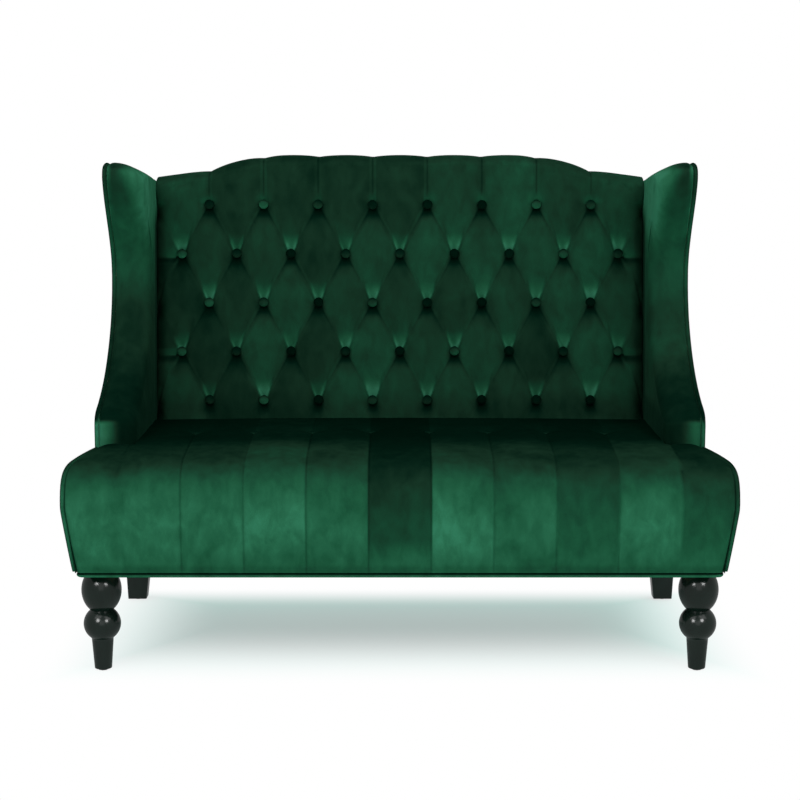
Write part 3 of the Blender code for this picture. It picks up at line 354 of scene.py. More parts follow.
def tuft_sink(x, up):
    """How far the cover is sunk from its full thickness: a crown over each diamond, a cusped
    groove along each pleat that deepens towards its buttons, and a dimple round each button,
    drawn out upwards into a fan between the pleats."""
    a, b, aside, beyond = tuft_lattice(x, up)
    across, along = button_offsets(x, up)
    away = np.maximum(np.hypot(across, along), NEAREST)
    fan = fan_share(across, along, FAN_BLEND) * (beyond <= 0.0)
    pit = between(-along / away, *PIT_TURN)
    reach = DIMPLE_REACH + (FAN_REACH - DIMPLE_REACH) * fan + (PIT_REACH - DIMPLE_REACH) * pit
    dimple = np.exp(-((away / reach) ** DIMPLE_POWER)).max(axis=0)
    near = toward(PLEAT_REST, 1.0, np.exp(-away.min(axis=0) / PLEAT_FADE))
    near = near + GATHER_DEPTH * eased(beyond / OUTER_REACH)
    above = eased(beyond / (BACK_CROWN - TUFT_TOP_ROW))
    near = near * toward(1.0, CREST_NOTCH, above) + eased(np.abs(aside) / OUTER_REACH)
    fold_a, fold_b = [
        np.exp(-np.hypot(off_whole(place) / PLEAT_STEEP, PLEAT_ROUND) / PLEAT_REACH) for place in (a, b)
    ]
    fold = 1.0 - (1.0 - fold_a) * (1.0 - fold_b)
    pillow = np.abs(np.sin(np.pi * a) * np.sin(np.pi * b))
    crown = TUFT_CROWN * (1.0 - pillow) * (1.0 - CREST_FLATTENED * above)
    return (1.0 - dimple) * (crown + PLEAT_DEPTH * near * fold) + TUFT_DIMPLE * dimple


def crest_dip(x):
    """How far the crest is drawn down: most at each pleat from the top row, nothing between."""
    column = np.clip(x / TUFT_PITCH, -TUFT_WIDEST, TUFT_WIDEST) + 0.5
    return CREST_SCALLOP * (1.0 - np.abs(np.sin(np.pi * column)) ** SCALLOP_POWER)


def back_rings():
    """Loops round the back pad, one for each place across it: up the tufted front, over the
    quarter-ellipse roll of the crest, and down the inside against the timber."""
    half = INNER_HALF - FIT
    step = TUFT_PITCH / 2.0 / TUFT_STEPS
    count = math.floor(half / step)
    x = np.array([-half, *(step * np.arange(-count, count + 1)), half])[:, None]
    rise = TUFT_ROW_PITCH / TUFT_STEPS
    roll_start = BACK_CROWN - BACK_ROLL
    below = math.floor((TUFT_TOP_ROW - BACK_PAD_RISE) / rise)
    over = math.floor((roll_start - TUFT_TOP_ROW) / rise)
    up = TUFT_TOP_ROW + rise * np.arange(-below, over + 1)
    up = np.array([BACK_PAD_RISE, *up, roll_start])[None]
    edge = np.clip((half - np.abs(x)) / BACK_EDGE_ROLL, 0.0, 1.0)
    side = BACK_EDGE_DEPTH * (1.0 - np.sqrt(1.0 - (1.0 - edge) ** 2))
    side = side * between(BACK_CROWN - up, *BACK_EDGE_END)
    share = np.clip((up - TUFT_TOP_ROW) / (roll_start - TUFT_TOP_ROW), 0.0, 1.0)
    drop = (BACK_CROWN - crest_line(x)) * share
    thick = BACK_PAD - tuft_sink(x, up) - side
    front = raked(x, up - drop, PAD_REAR - thick)
    angle = quarter_turn(ROLL_STEPS)[None, 1:]
    notch = tuft_sink(x, roll_start)
    reach = (BACK_PAD - notch - side[:, -1:]) * np.cos(angle)
    height = crest_line(x) - BACK_ROLL * (1.0 - np.sin(angle)) - crest_dip(x) * np.sin(angle)
    roll = raked(x, height, PAD_REAR - reach)
    behind = np.linspace(PAD_REAR, BACK_TIMBER - FIT, CREST_TOP_STEPS)[None, 1:]
    top = raked(x, height[:, -1:], behind)
    under = crest_line(x) - CREST_PADDING + FIT
    inside = [
        raked(x, under, BACK_TIMBER - FIT),
        raked(x, under, PAD_REAR),
        raked(x, BACK_PAD_RISE, PAD_REAR),
    ]
    rings = np.concatenate([front, roll, top, *inside], axis=1)
    depth = np.zeros(rings.shape[:2])
    depth[:, : up.shape[1]] = -thick
    return rings, depth


def skinned(name, points, faces, crease):
    """An object of those points and faces: points that meet are merged, faces turned outwards,
    and edges that bend by more than crease degrees stay sharp."""
    mesh = bpy.data.meshes.new(name)
    mesh.from_pydata(points.reshape(-1, 3).tolist(), [], faces)
    skin = bmesh.new()
    skin.from_mesh(mesh)
    bmesh.ops.remove_doubles(skin, verts=skin.verts, dist=MERGE)
    bmesh.ops.recalc_face_normals(skin, faces=skin.faces)
    skin.to_mesh(mesh)
    skin.free()
    mesh.shade_smooth()
    mesh.set_sharp_from_angle(angle=math.radians(crease))
    piece = bpy.data.objects.new(name, mesh)
    scene.collection.objects.link(piece)
    return piece


def loft(name, rings, depth=None, crease=40.0):
    """A closed skin through rings[ring, point]: each ring is joined to the next all round, and
    one face closes each end. With depth, cells are split along their deeper diagonal."""
    count, around = rings.shape[:2]
    index = np.arange(count * around).reshape(count, around)
    turn = np.roll(index, -1, axis=1)
    a, b, c, d = index[:-1], turn[:-1], turn[1:], index[1:]
    if depth is None:
        faces = np.stack([a, b, c, d], axis=-1).reshape(-1, 4).tolist()
    else:
        level = depth.reshape(-1)
        along = (level[a] + level[c] > level[b] + level[d])[..., None]
        first = np.where(along, np.stack([a, b, c], -1), np.stack([a, b, d], -1))
        second = np.where(along, np.stack([a, c, d], -1), np.stack([b, c, d], -1))
        faces = np.concatenate([first.reshape(-1, 3), second.reshape(-1, 3)]).tolist()
    faces += [index[0][::-1].tolist(), index[-1].tolist()]
    return skinned(name, rings, faces, crease)


def lay_pile_and_painted_light(piece, pile_and_light_of):
    """Stores on each vertex how bright the velvet is painted, 0 dark to 1 bright, worked out by the
    given function of points and normals: the lay of its pile together with painted light and
    shade, such as painted shade where the cloth faces up."""
    mesh = piece.data
    points = np.empty(3 * len(mesh.vertices), np.float32)
    normals = np.empty(3 * len(mesh.vertices), np.float32)
    mesh.vertices.foreach_get("co", points)
    mesh.vertices.foreach_get("normal", normals)
    painted_pile_value = pile_and_light_of(points.reshape(-1, 3), normals.reshape(-1, 3))
    layer = mesh.attributes.new("pile_and_painted_light", "FLOAT", "POINT")
    layer.data.foreach_set("value", np.clip(painted_pile_value, 0.0, 1.0).astype(np.float32))


def facing_down(normals, middle, width):
    """1 where the cloth faces down, 0 where it faces up: a logistic curve of the normal."""
    return 1.0 / (1.0 + np.exp((normals[:, 2] - middle) / width))


def dress(piece, finish, node):
    """Gives a piece its material and its place in the frame."""
    piece.data.materials.append(finish.material)
    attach(piece, "root")
    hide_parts(node)


def upholster(piece, pile_and_light_of, finish, node):
    """Gives a padded velvet piece its pile with painted light and shade, its material and its place in
    the frame.
    """
    lay_pile_and_painted_light(piece, pile_and_light_of)
    dress(piece, finish, node)


VELVET_GREENS = [
    (0.0, (0.0002, 0.0040, 0.0022)),
    (0.06, (0.0008, 0.0092, 0.0050)),
    (0.16, (0.0066, 0.0255, 0.0137)),
    (0.30, (0.0082, 0.0490, 0.0250)),
    (0.45, (0.0110, 0.0720, 0.0350)),
    (0.72, (0.0205, 0.1150, 0.0600)),
    (1.0, (0.0310, 0.1620, 0.0900)),
]


def velvet_finish(name, strokes, stretch, sheen):
    """Short-pile velvet: the stored pile value, with its painted light and shade, broken by strokes,
    crushed patches and small marks, picks the green."""
    made = Finish(
        name, Sheen_Weight=sheen, Sheen_Roughness=0.35, Sheen_Tint=(0.16, 0.62, 0.36, 1.0),
        Specular_IOR_Level=0.0,
    )
    stroke = made.noise(7.0, 3.0, stretch, 0.6)
    mark = made.noise(46.0, 4.0, (1.0, 1.0, 0.55), 0.4)
    fibre = made.noise(1500.0, 2.0, (1.0, 1.0, 0.35))
    crushed = made.noise(12.0, 6.0, (1.0, 1.0, 0.8), 0.5)
    painted_pile_value = add_node(made.tree, "Attribute", {}, attribute_name="pile_and_painted_light").outputs["Fac"]
    for pattern, *spread in (
        (stroke, 1.0 - strokes, 1.0 + strokes), (crushed, 1.03, 0.82, 0.52, 0.66),
        (mark, 0.76, 1.24), (fibre, 0.86, 1.14),
    ):
        painted_pile_value = made.times(painted_pile_value, made.span(pattern, *spread))
    made.shade(painted_pile_value, VELVET_GREENS)
    made.rough(mark, 0.78, 0.92)
    made.bump(fibre, 0.0004, 0.5)
    made.bump(mark, 0.0012, 0.25)
    return made


DIAMOND_SEED = 4
DIAMOND_PILE = (0.64, 1.40)
DIAMOND_BLEND = 0.07  # lattice steps over which a diamond blends into the next
TOP_CHANNEL_PILE = (1.02, 0.68, 0.70, 0.75, 0.71, 1.08, 1.36, 1.02, 1.05)
DRAWS = 32  # random draws along each lattice direction
# Painted highlight in the fans above the buttons, where the cloth slopes down.
FAN_SEED = 5
FAN_PULL = (0.5, 1.2)  # how strongly each button's painted highlight shows
FAN_EDGE = 0.003
FAN_FADE = (0.048, 0.010)  # above a button, where its fan fades in from the flat
FAN_RIBS = (0.50, 1.10)  # share of its gloss midway and along its ribs
FAN_THROAT = 0.014  # a fan is dimmer this close to its button
FAN_DIM = 0.6
FAN_HIGHLIGHT_GAIN = 2.7
# Painted lines along the pleats: painted highlight above a button, painted shade below one, midway and
# along the gathers.
LINE_WIDTH = 0.0019
LINE_FADE = 0.024
LINE_ABOVE = 1.9  # how much brighter the lines are above a button
LINE_BELOW = 0.9  # and how much darker below one
LINE_MIDWAY = 0.30  # and midway
LINE_DARKEST = 0.85
GATHER_DARK = 0.50
GATHER_START = (0.012, 0.032)  # above the top row, where the gathers' dark lines set in
ROW_EDGE = 0.001  # less than this past the outer rows still counts as between them
# Painted shade in the pits below the buttons.
PIT_SHADE = 0.012
PIT_DROP = 0.013
PIT_DARK = 0.85
# Painted light and shade of the back: slopes that face down are painted brighter than the flat, slopes
# that face up darker.
FLAT_PILE = 0.19
FLAT_TILT = 0.07  # slopes gentler than this look flat
SLOPE_GAIN = 2.0
SLOPE_LIMITS = (0.12, 2.2)
CREST_CALM = (0.80, 0.074, 0.044)  # share of the slope lost, and where below the crest line
# Painted shadow on the back beside the wings, and painted shade low down near the seat.
WING_DARK = 0.45
WING_SHADE = (0.0285, 0.0095)  # from the wing
WING_SHADE_END = (0.90, 0.82)  # heights
FOOT_SHADE = (0.30, 0.52, 0.44)  # share lost, and between which heights


def diamond_pile(a, b):
    """How open the pile lies in each diamond, and in each channel above the top row, blended
    into the next one near a pleat."""
    drawn = np.random.default_rng(DIAMOND_SEED).uniform(*DIAMOND_PILE, (DRAWS, DRAWS))
    sides = (DIAMOND_BLEND, -DIAMOND_BLEND)
    shifts = [(0.0, 0.0)] + [(shift_a, shift_b) for shift_a in sides for shift_b in sides]
    pile = np.zeros(len(a))
    for shift_a, shift_b in shifts:
        cell_a, cell_b = np.floor(a + shift_a).astype(int), np.floor(b + shift_b).astype(int)
        channel = np.array(TOP_CHANNEL_PILE)[np.clip(cell_a + TUFT_WIDEST, 0, 2 * TUFT_WIDEST)]
        pile += np.where(cell_a == cell_b, channel, drawn[cell_a % DRAWS, cell_b % DRAWS])
    return pile / len(shifts)


def fan_painted_highlight(a, b, across, along):
    """Painted highlight of the fans above the buttons: most along their two ribs, less in the
    throat and towards their upper end, and each by its own draw."""
    drawn = np.random.default_rng(FAN_SEED).uniform(*FAN_PULL, (DRAWS, DRAWS))
    cell_a, cell_b = np.floor(a).astype(int), np.floor(b).astype(int)
    pull = np.stack([drawn[(cell_a + i) % DRAWS, (cell_b + j) % DRAWS] for i in (0, 1) for j in (0, 1)])
    half = np.maximum(FAN_FOOT + FAN_SPREAD * along, FAN_FOOT)
    rib = np.clip(np.abs(across) / half, 0.0, 1.0)
    fan = fan_share(across, along, FAN_EDGE) * toward(*FAN_RIBS, rib**2)
    fan = fan * toward(FAN_DIM, 1.0, eased(along / FAN_THROAT)) * between(along, *FAN_FADE)
    return (pull * fan).max(axis=0)


def pleat_painted_lines(a, b, across, along, beyond):
    """Painted thin lines along the pleats: a painted highlight above a button and painted shade below
    one and midway, and painted shade lines along the gathers between the top row and the crest."""
    aside = np.minimum(off_whole(a), off_whole(b)) / PLEAT_STEEP
    line = np.exp(-((aside / LINE_WIDTH) ** 2)) * (np.abs(beyond) < ROW_EDGE)
    near = np.exp(-np.hypot(across, along) / LINE_FADE)
    above = (near * (along > 0.0)).max(axis=0)
    below = (near * (along < 0.0)).max(axis=0)
    line = line * (LINE_ABOVE * above - LINE_BELOW * below - LINE_MIDWAY)
    gather = np.exp(-((off_whole(a) * TUFT_PITCH / LINE_WIDTH) ** 2))
    return np.maximum(line, -LINE_DARKEST) - GATHER_DARK * gather * between(beyond, *GATHER_START)


def back_pile_and_painted_light(points, normals):
    """Each diamond's pile lies its own way. Painted light and shade: slopes that face down are
    painted brighter than the flat of the back, the fans above the buttons most, and slopes that
    face up darker. Thin painted lines follow the pleats, and the pits below the buttons and the
    joints with wings and seat get painted shade."""
    x, z = points[:, 0], points[:, 2]
    up = up_rake(points)
    a, b, _, beyond = tuft_lattice(x, up)
    across, along = button_offsets(x, up)
    tilt = normals[:, 2] - math.sin(BACK_RAKE)
    tilt = faded(tilt, crest_line(x) - up, *CREST_CALM)
    tilt = tilt - np.clip(tilt, -FLAT_TILT, FLAT_TILT)
    shade = FLAT_PILE * np.clip(1.0 - SLOPE_GAIN * tilt, *SLOPE_LIMITS) * diamond_pile(a, b)
    shade = shade * (1.0 + FAN_HIGHLIGHT_GAIN * fan_painted_highlight(a, b, across, along) * (beyond <= 0.0))
    shade = shade * (1.0 + pleat_painted_lines(a, b, across, along, beyond))
    pit = np.exp(-((across / PIT_SHADE) ** 2) - ((along + PIT_DROP) / PIT_SHADE) ** 2).max(axis=0)
    shade = shade * (1.0 - PIT_DARK * pit * (beyond < ROW_EDGE))
    edge = between(INNER_HALF - np.abs(x), *WING_SHADE) * between(z, *WING_SHADE_END)
    return faded(shade * (1.0 - WING_DARK * edge), z, *FOOT_SHADE)


velvet = velvet_finish("green_velvet", 0.22, (1.0, 1.0, 0.45), 0.05)
back_cushion = loft("tufted_back", *back_rings())
upholster(back_cushion, back_pile_and_painted_light, velvet, "back_cushion")


# Back buttons. Domed button moulds covered in the same velvet, gathered behind, and drawn into
# the pad by a twine through each row. Each row is one piece.
BUTTON_RADIUS = 0.0103
BUTTON_THICK = 0.011
BUTTON_STANDOFF = 0.006
BUTTON_SEAT = PAD_REAR - BACK_PAD + TUFT_DIMPLE
BUTTON_STEPS = (9, 6)  # down the dome, and round the back
BUTTON_SIDES = 28
BUTTON_RIM = 0.3  # share of its half height from which the cover puckers
BUTTON_PUCKERS = 9
BUTTON_PUCKER = 0.015  # share of the radius
BUTTON_ASKEW = (0.0007, 0.0007, 0.10, 0.10)  # aside, above, nod and turn at most
BUTTON_PILE = (0.05, 0.80)


def button_rings():
    """Rings (radius, height) of one button from its domed top to its back: a flattened dome
    with a rolled rim, carried round its axis."""
    dome = quarter_turn(BUTTON_STEPS[0])
    back = quarter_turn(BUTTON_STEPS[1])[1:]
    radius = np.concatenate([np.sin(dome) ** 0.8, np.cos(back) ** 0.6])
    height = np.concatenate([np.cos(dome) ** 0.9, -np.sin(back)])
    turn = full_turn(BUTTON_SIDES)
    pucker = BUTTON_PUCKER * np.cos(BUTTON_PUCKERS * turn)[None] * (height < BUTTON_RIM)[:, None]
    radius = BUTTON_RADIUS * radius[:, None] * (1.0 + pucker)
    flat = np.stack([radius * np.cos(turn), radius * np.sin(turn)], axis=-1)
    return flat, np.broadcast_to((BUTTON_THICK / 2.0 * height)[:, None], radius.shape)


def button_row(name, places):
    """One mesh of like buttons: places gives, for the ring points, each button's points."""
    rings = places(*button_rings())
    buttons, count, around = rings.shape[:3]
    index = np.arange(buttons * count * around).reshape(buttons, count, around)
    turn = np.roll(index, -1, axis=2)
    faces = np.stack([index[:, :-1], turn[:, :-1], turn[:, 1:], index[:, 1:]], axis=-1)
    return skinned(name, rings, faces.reshape(-1, 4).tolist(), crease=180.0)


def back_button_places(columns, up, seed):
    """Puts buttons at columns across the raked back, domes forward, each a little askew."""
    middle = BUTTON_SEAT - BUTTON_STANDOFF - BUTTON_THICK / 2.0
    askew = np.random.default_rng(seed).uniform(-1.0, 1.0, (4, len(columns), 1, 1))
    aside, above, nod, turn = askew * np.array(BUTTON_ASKEW)[:, None, None, None]

    def places(flat, height):
        x, y = flat[None, ..., 0], flat[None, ..., 1]
        forward = height[None] + nod * y + turn * x
        return raked(columns[:, None, None] + aside + x, up + above + y, middle - forward)

    return places


def button_pile_and_painted_light(seed):
    """Pile of one row: each button gets its own random shade, partly its pile's turn and partly painted
    light, and is painted brighter where it faces down.
    """
    shades = toward(*BUTTON_PILE, np.random.default_rng(seed).uniform(0.0, 1.0, DRAWS) ** 2.2)

    def pile_and_light_of(points, normals):
        place = np.round(2.0 * points[:, 0] / TUFT_PITCH).astype(int) % DRAWS
        return shades[place] * facing_down(normals, 0.0, 0.35)

    return pile_and_light_of


for number in range(TUFT_ROWS):
    half_step = 0.5 if number % 2 == 0 else 0.0
    columns = TUFT_PITCH * (np.arange(-TUFT_WIDEST, TUFT_WIDEST + 1 - 2 * half_step) + half_step)
    button_piece = button_row(
        f"back_buttons_{number + 1}",
        back_button_places(columns, TUFT_TOP_ROW - number * TUFT_ROW_PITCH, number),
    )
    upholster(button_piece, button_pile_and_painted_light(number), velvet, f"back_button_row_{number + 1}")


# Wing and arm pads. One velvet cover on each side runs from the arm's front over the arm and
# up the wing to the ear, over foam on the wing board, and is pulled in behind the tufted back.
ARM_SETBACK = 0.190
ARM_RISE = 0.300
ARM_NOSE = 0.032
ARM_SLOPE = 0.28
HOLLOW_REACH = 0.238
HOLLOW_RISE = 0.554
EAR_REACH = 0.3415
EAR_FRONT_RISE = 0.746
EAR_TOP_REACH = 0.298
EAR_RISE = 0.785
EAR_LEAN = np.array([-0.35, 0.94]) / math.hypot(0.35, 0.94)
ARM_SWEEP = 0.35
WING_CLIMB = 0.30
EAR_TIP = 0.60
NOSE_TURN = 0.40
WELT_RADIUS = 0.0045
BODY_HALF = 0.614
PAD_OUTER = BODY_HALF - 2 * WELT_RADIUS - FIT
PAD_ROLL = 0.034
PAD_FRONT_ROLL = 0.050
EAR_ROLL = 0.062
EAR_FALL = 0.034
EAR_REAR_ROLL = 0.022  # the ear's roll is less deep at the rear
PAD_BASE = 0.3038
PAD_BULGE = 0.0045
BULGE_SPAN = 5.0 / 7.0  # of the way to the rear
BULGE_ROOM = 0.08  # the bulge sinks this close to the tufted back
BOARD_FACE = 0.5912
BOARD_REBATE = 0.0196
EAR_START = (-0.05, 0.04)  # about the ear's front, where the roll turns into the ear's
EAR_TAIL = 0.22  # length over which the ear's roll gets less deep
OUTLINE_STEPS = (14, 14, 52, 48, 30, 18)  # arm's front, nose, arm, hollow, ear and its top
PAD_CROWN_STEPS = 9
PAD_FACE_STEPS = 32
SIDES = (("left", -1.0), ("right", 1.0))


def bezier(start, first, second, end, count):
    """count points along a cubic curve, without its last one."""
    t = np.linspace(0.0, 1.0, count, endpoint=False)[:, None]
    return (
        (1 - t) ** 3 * start + 3 * t * (1 - t) ** 2 * first
        + 3 * t**2 * (1 - t) * second + t**3 * end
    )


def rear_line(z, rearward):
    """y of the plane that lies rearward of the back timber's front, at height z."""
    up = (z - BASE + rearward * math.sin(BACK_RAKE)) / math.cos(BACK_RAKE)
    return BACK_FOOT_Y + up * math.sin(BACK_RAKE) + rearward * math.cos(BACK_RAKE)


def side_outline(inset, base, rearward):
    """(y, z) up the arm's front, over its nose, along the arm, up the wing's hollow, round the
    ear and back along its top, as cubic curves between key points moved in by inset."""
    rear = DEPTH / 2.0
    slope = np.array([1.0, ARM_SLOPE]) / math.hypot(1.0, ARM_SLOPE)
    up, back = np.array([0.0, 1.0]), np.array([1.0, 0.0])
    front = np.array([FRONT + ARM_SETBACK + inset, base])
    nose = np.array([FRONT + ARM_SETBACK + ARM_NOSE, BASE + ARM_RISE])
    start = np.array([front[0], nose[1] - ARM_NOSE - inset / 2.0])
    nose = nose + inset * np.array([slope[1], -slope[0]])
    hollow = np.array([rear - HOLLOW_REACH + inset, BASE + HOLLOW_RISE])
    ear = np.array([rear - EAR_REACH, BASE + EAR_FRONT_RISE])
    ear = ear + inset * (np.array([EAR_LEAN[1], -EAR_LEAN[0]]) - EAR_LEAN)
    top = np.array([rear - EAR_TOP_REACH + inset, BASE + EAR_RISE - inset])
    end = np.array([rear_line(top[1] - EAR_FALL, rearward), top[1] - EAR_FALL])
    sweep = ARM_SWEEP * np.linalg.norm(hollow - nose)
    climb = WING_CLIMB * np.linalg.norm(ear - hollow)
    tip = EAR_TIP * np.linalg.norm(top - ear)
    turn = NOSE_TURN * np.linalg.norm(nose - start)
    steps = OUTLINE_STEPS
    return np.concatenate([
        np.linspace(front, start, steps[0], endpoint=False),
        bezier(start, start + up * turn, nose - slope * turn, nose, steps[1]),
        bezier(nose, nose + slope * sweep, hollow - up * sweep, hollow, steps[2]),
        bezier(hollow, hollow + up * climb, ear - EAR_LEAN * climb, ear, steps[3]),
        bezier(ear, ear + EAR_LEAN * tip, top - back * tip, top, steps[4]),
        np.linspace(top, end, steps[5]),
    ])


def wing_rings(sign):
    """Loops across the pad, one for each place along the side outline: in from the welt over
    a low crown, an elliptical roll that broadens to a parabola at the ear, the bulged inner
    face, and back along the board."""

    def lines(insets):
        return np.stack([side_outline(i, PAD_BASE, BACK_TIMBER - FIT) for i in insets], axis=1)

    across = np.linspace(0.0, 1.0, PAD_CROWN_STEPS)[:-1]
    curl = quarter_turn(ROLL_STEPS)
    lean = np.sin(curl)
    crown = lines(WELT_RADIUS * (1.0 - across) ** 2)
    ear = between(crown[:, :1, 1] - BASE - EAR_FRONT_RISE, *EAR_START)
    tail = eased((crown[:, :1, 0] - FRONT - EAR_TOP_REACH) / EAR_TAIL) * ear
    roll = lines(PAD_ROLL * (1.0 - np.cos(curl)))
    roll = toward(roll, lines(PAD_ROLL * lean**2), ear[..., None])
    roll = toward(roll, lines(EAR_REAR_ROLL * lean**2), tail[..., None])
    broad = toward(PAD_FRONT_ROLL, EAR_ROLL, ear)
    roll_x = INNER_HALF + broad
    x = np.concatenate([toward(PAD_OUTER, roll_x, across), roll_x - broad * lean], axis=1)
    front = np.concatenate([x[..., None], np.concatenate([crown, roll], axis=1)], axis=2)
    inner = roll[:, -1]
    share = np.linspace(0.0, 1.0, len(inner)) ** 1.3
    height = toward(PAD_BASE, inner[-1, 1], share)
    crest = BASE + (crest_line(BOARD_FACE) - CREST_PADDING) * math.cos(BACK_RAKE)
    seat = np.where(height > crest, BACK_TIMBER - FIT, PAD_REAR - FIT)
    rear = np.stack([rear_line(height, seat), height], axis=1)
    to_rear = np.linspace(0.0, 1.0, PAD_FACE_STEPS)[1:]
    face = toward(inner[:, None], rear[:, None], to_rear[:, None])
    room = (rear_line(face[..., 1], PAD_REAR - BACK_PAD) - face[..., 0]) / BULGE_ROOM
    bulge = PAD_BULGE * np.sin(np.pi * np.minimum(1.0, to_rear / BULGE_SPAN)) ** 0.8 * eased(room)
    face = np.concatenate([(INNER_HALF - bulge)[..., None], face], axis=2)
    rebate = side_outline(BOARD_REBATE, PAD_BASE, BACK_TIMBER - FIT)
    behind = np.stack([
        np.insert(rear, 0, BOARD_FACE, axis=1),
        np.insert(rebate, 0, BOARD_FACE, axis=1),
        np.insert(rebate, 0, PAD_OUTER, axis=1),
    ], axis=1)
    return np.concatenate([front, face, behind], axis=1) * np.array([sign, 1.0, 1.0])


# Painted light and shade of the wings: a painted highlight along the rolled rim, brighter on the right,
# painted shade on the arm's top and the ear's top, and painted shadow beside the back.
WING_PAINTED_LIGHT = {"left": (0.125, 0.75, 1.0), "right": (0.19, 1.0, 0.58)}  # low, rim, arm's front
EAR_PILE = 0.17
WING_LIFT = 0.16  # how much brighter the wing is painted below the ear's top
ARM_TOP_PAINTED_SHADE = 0.068
ARM_FRONT_PILE = 0.075
JOINT_PAINTED_SHADOW = 0.07
LOW_FACE_LIFT = 0.25
EAR_TOP_DARK = 0.45
WING_FOOT = (0.3, 0.62, 0.54)  # share lost, and between which heights
EAR_TOP = (0.90, 0.94)  # heights between which the pile changes, down to JOINT_END
BELOW_EAR = (0.95, 0.85)
RIM_FOOT = (0.79, 0.90)
LOW_WING = (0.80, 0.66)
LOW_FACE = (0.80, 0.70)
ARM_TOP = (0.60, 0.50)
ARM_FRONT = (0.505, 0.475)
JOINT_END = (0.90, 0.84)
RIM_GAP = (0.372, 0.132)  # from the tufted back
JOINT_GAP = (0.03, 0.0)
ARM_OUTSIDE = (0.560, 0.610)  # from the middle
INNER_FACE = (0.35, 0.75)  # how far the cloth faces inward, as in the next
ROLLED_EDGE = (0.10, 0.80)
ARM_LEVEL = (0.05, 0.35)  # how far it faces up, as in the next two
ARM_UPRIGHT = (0.45, 0.10)
EAR_LEVEL = (0.35, 0.85)


def wing_pile_and_painted_light(points, normals, low, rim, front):
    """Pile of one wing, with painted light and shade: darker down the wing, a painted highlight along
    the rolled edge near the ear, painted shade darkest on the arm that faces up, bright at the
    outside of the arm's front, and painted shadow beside the back."""
    z, inward, upward = points[:, 2], np.abs(normals[:, 0]), normals[:, 2]
    gap = rear_line(z, PAD_REAR - BACK_PAD) - points[:, 1]
    inner = between(inward, *INNER_FACE)
    face = EAR_PILE + WING_LIFT * between(z, *BELOW_EAR)
    face = toward(face, low, between(z, *LOW_WING))
    face = faded(face, z, *WING_FOOT) * (1.0 + LOW_FACE_LIFT * inner * between(z, *LOW_FACE))
    rolled = between(inward, *ROLLED_EDGE) * between(gap, *RIM_GAP)
    face = toward(face, rim, rolled * between(z, *RIM_FOOT))
    face = toward(face, ARM_TOP_PAINTED_SHADE, between(z, *ARM_TOP) * between(upward, *ARM_LEVEL))
    arm_front = toward(ARM_FRONT_PILE, front, between(np.abs(points[:, 0]), *ARM_OUTSIDE))
    face = toward(face, arm_front, between(z, *ARM_FRONT) * between(upward, *ARM_UPRIGHT))
    ear_top = between(upward, *EAR_LEVEL) * between(z, *EAR_TOP) * (1.0 - inner)
    face = face * (1.0 - EAR_TOP_DARK * ear_top)
    return toward(face, JOINT_PAINTED_SHADOW, between(gap, *JOINT_GAP) * between(z, *JOINT_END))


def side_pile_and_painted_light(side):
    """The wing's pile, with the painted light and shade of that side."""
    return lambda points, normals: wing_pile_and_painted_light(points, normals, *WING_PAINTED_LIGHT[side])


for side, sign in SIDES:
    wing_pad = loft(f"{side}_wing_pad_cover", wing_rings(sign))
    upholster(wing_pad, side_pile_and_painted_light(side), velvet, f"{side}_wing_pad")


# Seat. One velvet cover with a T-shaped front, sewn in eleven channels, is pulled over the
# sprung deck and down the front rail, with one row of buttons near the back.
SEAT_TOP = 0.442
SEAT_CROWN = 0.010
SEAT_CROWN_SETBACK = 0.290
SEAT_CROWN_HALF = 0.230
SEAT_SIDE_FALL = 0.004
SEAT_LOW = 0.2125
SEAT_DECK = 0.338
SEAT_HALF = 0.6452
SEAT_NEAR_HALF = 0.6042
FRONT_BOTTOM_SETBACK = 0.012
FRONT_BULGE_Z = 0.340
FRONT_ROLL_SETBACK = 0.075
FRONT_TAPER = 0.018
FRONT_END_ROLL = 0.008
SEAT_END_ROLL = 0.012
SEAT_END_SPREAD = 0.040
SEAT_STEP = 0.1875
SEAT_GAP = 0.0025
SEAT_HOLLOW = 0.0396
HOLLOW_HALF = 0.6004
CHANNEL_PITCH = 0.1208
CHANNEL_STEPS = 36
CHANNELS_ASIDE = 5  # on each side of the middle one
CHANNEL_CROWN = 0.0022
SEAM_DEPTH = 0.0022
SEAM_REACH = 0.0035
SEAT_BUTTON_SETBACK = 0.335
SEAT_DIMPLE = 0.014
SEAT_DIMPLE_REACH = 0.020
SEAT_BUTTONS = 8
DIMPLE_SOFTNESS = 1.4
ROLL_FULLNESS = 0.6  # how squarely the front rolls over
ROLL_FALL = 0.006
SEAM_END = (0.03, -0.02)  # behind the buttons, where the seams run out
SEAM_EDGE = 0.03  # from the seat's ends
SEAM_FOOT = 0.015  # above its lower edge
TAPER_DEPTH = 0.13  # the ends taper inwards this far behind the front
FRONT_STEPS = 34
NEAR_STEPS = 30
FAR_STEPS = 104
END_STEPS = 14
SIDE_STEPS = 16


def seat_top(setback):
    """Height of the crowned top along the middle: a parabola that falls to the front and rear."""
    return SEAT_TOP - SEAT_CROWN * ((setback - SEAT_CROWN_SETBACK) / SEAT_CROWN_HALF) ** 2


